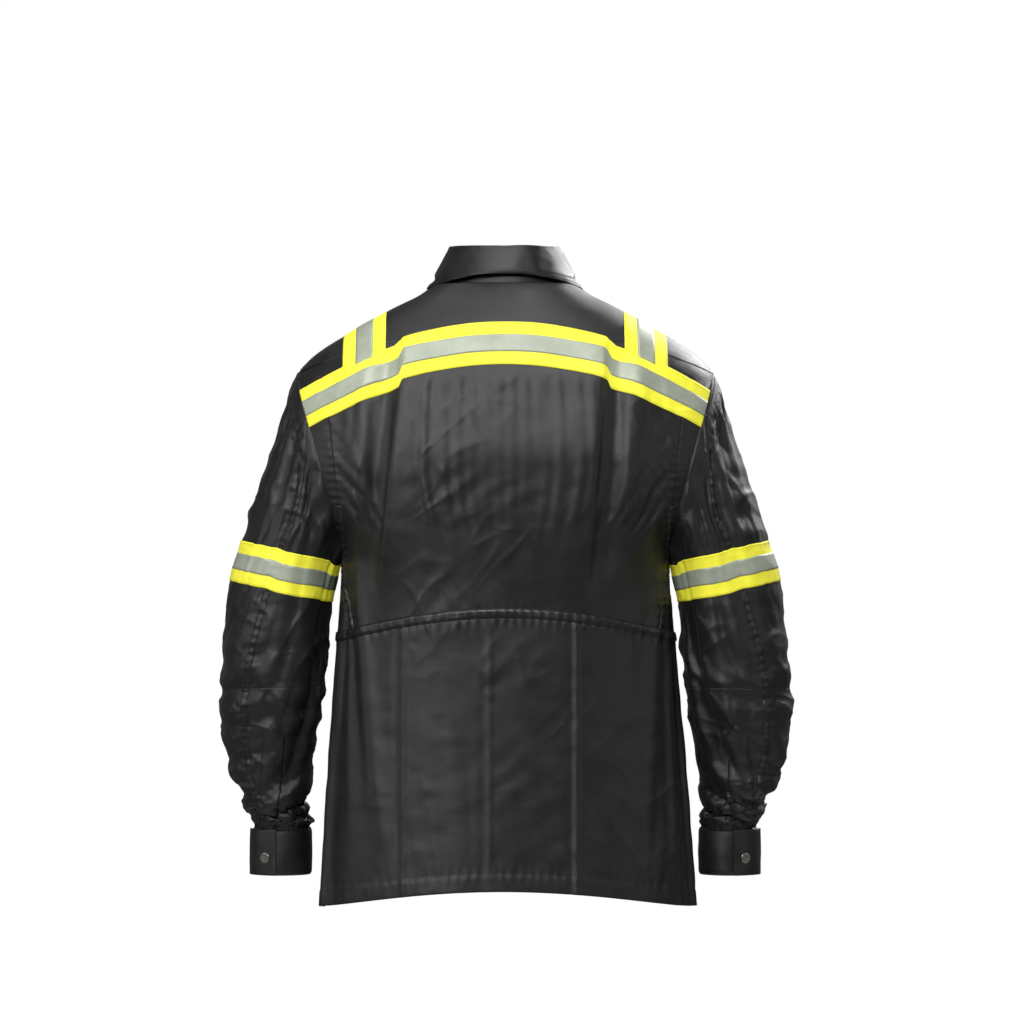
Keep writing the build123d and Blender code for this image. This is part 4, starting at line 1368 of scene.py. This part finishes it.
for name, side in SIDES:
    form = cuff_form(side)
    u = np.arange(160) / 160 + 0 * np.linspace(0, 1, 24)[:, None]
    height = np.linspace(CUFF_LOW, CUFF_TOP, 24)[:, None] + 0 * u
    edge = 1.4 * (1 - np.abs(2 * (height - CUFF_LOW) / (CUFF_TOP - CUFF_LOW) - 1) ** 14) - 1.2
    draft(f"{name}_cuff_cloth", form, u, height, around=True)
    piece = shell_piece(f"{name}_cuff_cloth", form.at(u, height, edge),
                        form.at(u, height, edge * 0 - 2.6), CLOTH,
                        np.stack([u * CUFF_GIRTH, height], axis=-1), around=True)
    finish_piece(piece, f"{name}_forearm", [f"{name}_cuff"])
    start, end = sorted(side * turn for turn in TAB_TURN)
    tu = np.linspace(start, end, 60)[None, :] + 0 * np.linspace(0, 1, 24)[:, None]
    th = np.linspace(CUFF_LOW + 0.5, CUFF_TOP - 0.5, 24)[:, None] + 0 * tu
    free_end = np.clip((np.abs(tu) - TAB_TURN[0]) / (TAB_TURN[1] - TAB_TURN[0]), 0, 1)
    lift = 3.9 + 1.4 * free_end**6 * np.abs(2 * (th - CUFF_LOW) / 55 - 0.8)
    draft(f"{name}_cuff_tab_cloth", form, tu, th)
    piece = shell_piece(f"{name}_cuff_tab_cloth", form.at(tu, th, lift),
                        form.at(tu, th, lift - 1.8), CLOTH,
                        np.stack([tu * CUFF_GIRTH, th], axis=-1))
    finish_piece(piece, f"{name}_cuff_tab", [f"{name}_cuff_tab"])
    round_u = np.linspace(0, 1, 300)
    for height in (CUFF_LOW + 4, CUFF_TOP - 4, CUFF_TOP - 9):
        add_thread(f"{name}_forearm", stitch_part(form, round_u, np.full(300, height), 0.0, 0.1))
        line = np.linspace(start, end, 80)[3:-3]
        add_thread(f"{name}_cuff_tab", stitch_part(form, line, np.full(74, height), 0.0, 3.9))
    upright = np.linspace(CUFF_LOW + 5, CUFF_TOP - 5, 60)
    add_thread(f"{name}_cuff_tab",
               stitch_part(form, np.full(60, side * (TAB_TURN[1] - 0.015)), upright, 0.0, 4.0))

    surface = sleeves[name]
    height = np.linspace(CUFF_TOP - 1, PLACKET_TOP, 90)
    x = 283 - 8 * (height - CUFF_TOP) / 133
    middle = (sleeve_inner(height) + sleeve_outer(height)) / 2
    half = (sleeve_outer(height) - sleeve_inner(height)) / 2
    u = side * np.arccos(np.clip((x - middle) / half, -1, 1)) / (2 * np.pi)
    reach = 13.5 * np.clip((PLACKET_TOP - height) / 15, 0.02, 1)
    outer = []
    inner = []
    grid = []
    for share in np.linspace(-1, 1, 17):
        pu, ph = surface.beside(u, height, share * reach)
        grid.append((pu, ph))
        raised = 1.5 * (1 - abs(share) ** 8) + 0.1
        outer.append(surface.at(pu, ph, np.full(90, raised)))
        inner.append(surface.at(pu, ph, np.full(90, -0.4)))
    outer = np.stack(outer, axis=0)
    inner = np.stack(inner, axis=0)
    uvs = np.stack(np.meshgrid(height, np.linspace(-13, 13, 17)), axis=-1)
    draft(f"{name}_placket_cloth", surface, *(np.stack(part) for part in zip(*grid)))
    piece = shell_piece(f"{name}_placket_cloth", outer, inner, CLOTH, uvs)
    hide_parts(f"{name}_sleeve_placket")
    blend_at_elbow(piece)
    for share in (-0.8, 0.8):
        pu, ph = surface.beside(u, height, share * reach)
        add_thread(f"{name}_lower", stitch_part(surface, pu, ph, 0.0, 1.4))
    for place in (100.0, 118.0, 190.0):
        line = np.linspace(-1, 1, 24)
        cu, ch = surface.beside(np.full(24, np.interp(place, height, u)) + line * 1e-5,
                                np.full(24, place), line * 0)
        cu = cu + line * 10.5 / SLEEVE_GIRTH * side
        add_thread(f"{name}_lower", stitch_part(surface, cu, ch, 0.0, 1.5))

# ---- seams and stitching -----------------------------------------------------------------------
SEAM_WIDTH = 9.0
SEAM_LIFT = 0.9
strips = {}


def add_seam(key, surface, u, height, middle=0.0, width=SEAM_WIDTH, rows=(-3.2, 3.2),
             lift=SEAM_LIFT):
    """A felled seam: a raised strip with a row of stitches near each edge."""
    u, height = resample(surface, u, height, 2.2)
    strips.setdefault(key, []).append(strip_part(surface, u, height, width, lift, middle))
    for row in rows:
        add_thread(key, stitch_part(surface, u, height, middle + row, lift - 0.1))


def add_stitches(key, surface, u, height, rows):
    for row in rows:
        add_thread(key, stitch_part(surface, u, height, row, 0.1))


def side_seam_u(side, height):
    """The u of the side seam, which runs on above the armhole as the shoulder seam."""
    ratio = np.abs(SHOULDER_SEAM_Y) / front_depth(height)
    angle = -side * np.arcsin(ratio ** (ROUNDNESS / 2)) + (0 if side > 0 else np.pi)
    return np.interp(angle % (2 * np.pi), ring_angles, ring_length)


for name, side in SIDES:
    height = np.linspace(float(waist_line(178)) + 2, 470, 120)
    add_seam("body", body, body_u(side * side_back_x(height), height), height)
    u, height = armhole_path(side, 260)
    add_seam("body", body, u, height, middle=side * 4.0)
    height = np.linspace(4, 417, 200)
    add_seam("body", body, side_seam_u(side, height), height)
    # shoulder seam, from the armhole to the neck
    height = np.linspace(629, 727, 90)
    add_seam("body", body, side_seam_u(side, height), height)
    # front edge beside the zip
    height = np.linspace(6, 726, 400)
    u = front_patch(side, FRONT_EDGE + 2.5 + 0 * height, height)
    add_stitches("body", body, u, height, (0.0,))
    u = front_patch(side, FRONT_EDGE + 9 + 0 * height, height)
    add_stitches("body", body, u, height, (0.0,))
    surface = sleeves[name]
    for seam in (sleeve_back_seam, sleeve_front_seam):
        top = float(sleeve_start(surface, side * seam(np.array([420.0])))[0])
        middle = np.array([ARM_TAPE_HEIGHT])
        for _ in range(20):
            middle = arm_band(sleeve_base(seam(middle), middle)[:, 0])
        edge = TAPE_WIDTH / 2 + 1
        for low, high in ((SLEEVE_SPLIT, middle[0] - edge), (middle[0] + edge, top - 4)):
            height = np.linspace(low, high, 90)
            add_seam(f"{name}_upper", surface, side * seam(height), height)
        height = np.linspace(CUFF_TOP + 1, SLEEVE_SPLIT, 120)
        add_seam(f"{name}_lower", surface, side * seam(height), height)

u, height = across_back(waist_line, 0.004)
add_seam("body", body, u, height, middle=5.0, width=12.0, rows=(-4.6, 4.6), lift=2.0)
u, height = across_back(hem_line, 0.004)
add_stitches("body", body, u, height, (18.0, 2.5))
u, height = across_back(yoke_line, 0.01)
add_stitches("body", body, u, height, (4.0,))
for name, side in SIDES:
    x = np.linspace(FRONT_EDGE + 2, 215, 200)
    height = np.full(200, 20.0)
    add_stitches("body", body, front_patch(side, x, height), height, (0.0,))

lu = np.linspace(leaf_ends[0] + 0.012, leaf_ends[1] - 0.012, 400)
for gap in (3.5, 9.0):
    add_thread("body", stitch_part(leaf, lu, np.full(400, gap - LEAF_LENGTH), 0.0, 0.1))


def attach(obj, key):
    """Attaches a piece to its body, or bakes its transform in place if it belongs to a sleeve's
    upper or lower part.
    """
    name, level = key.split("_", 1) if "_" in key else (key, "")
    if level == "upper":
        blend_at_shoulder(obj)
    elif level == "lower":
        blend_at_elbow(obj)
    else:
        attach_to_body(obj, key)


for key, parts in strips.items():
    attach(join_meshes(f"{key}_seams", parts, CLOTH), key)
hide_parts("waist_casing")

for key, parts in black_threads.items():
    attach(join_meshes(f"{key}_stitches", parts, THREAD_BLACK), key)
for key, parts in lime_threads.items():
    attach(join_meshes(f"{key}_lime_stitches", parts, LIME_THREAD), key)

# ---- CAD pieces that stay -------------------------------------------------------------------
for node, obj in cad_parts.items():
    if "snap" in node:
        material = SNAP
    elif node.startswith("zip_tape") or node == "hanger_loop":
        material = THREAD_BLACK
    elif node.startswith("zip"):
        material = ZIP_PLASTIC
    else:
        continue
    for slot in obj.material_slots:
        slot.material = material

# ---- camera, lights and floor -----------------------------------------------------------------
AMBIENT = 0.09
scene = bpy.context.scene
scene.view_settings.view_transform = "Standard"

camera_data = bpy.data.cameras.new("camera")
camera_data.lens = 178.8
camera_data.sensor_width = 36.0
camera = bpy.data.objects.new("camera", camera_data)
camera.location = (-0.008, 6.0, -0.269)
camera.rotation_euler = (math.radians(90), 0, math.radians(180))
scene.collection.objects.link(camera)
scene.camera = camera


def area_light(name, place, target, size, power):
    data = bpy.data.lights.new(name, "AREA")
    data.energy = power
    data.size = size
    obj = bpy.data.objects.new(name, data)
    obj.location = place
    obj.rotation_euler = (Vector(target) - Vector(place)).to_track_quat("-Z", "Y").to_euler()
    scene.collection.objects.link(obj)


area_light("key", (0.55, 3.1, 1.6), (0.02, 0, -0.3), 1.0, 112)
area_light("left_rim", (2.8, 1.5, 0.6), (0, 0, -0.3), 0.8, 24)
area_light("right_rim", (-3.0, 1.3, 0.4), (0, 0, -0.4), 0.8, 12)
area_light("top", (0.0, 0.2, 2.4), (0, 0, -0.2), 1.2, 34)
area_light("front_key", (-1.6, -2.3, 1.3), (0, 0, -0.3), 1.2, 90)

# the backdrop is white, and the light that it sends on to the coat is dim
world = bpy.data.worlds.new("studio")
world.use_nodes = True
tree = world.node_tree
path = tree.nodes.new("ShaderNodeLightPath")
level = tree.nodes.new("ShaderNodeMapRange")
level.inputs["To Min"].default_value = AMBIENT
tree.links.new(path.outputs["Is Camera Ray"], level.inputs["Value"])
tree.links.new(level.outputs["Result"], tree.nodes["Background"].inputs["Strength"])
tree.nodes["Background"].inputs["Color"].default_value = (1, 1, 1, 1)
scene.world = world

floor_mesh = bpy.data.meshes.new("floor")
around_floor = np.linspace(0, 2 * np.pi, 97)[:-1]
floor_mesh.from_pydata([(1.6 * math.cos(a), 1.6 * math.sin(a), -1.9) for a in around_floor], [],
                       [list(range(96))])
floor = bpy.data.objects.new("floor", floor_mesh)
scene.collection.objects.link(floor)
pale = Nodes("floor_pale")
pale.set(Base_Color=(0.6, 0.6, 0.6, 1), Roughness=0.8)
floor_mesh.materials.append(pale.material)
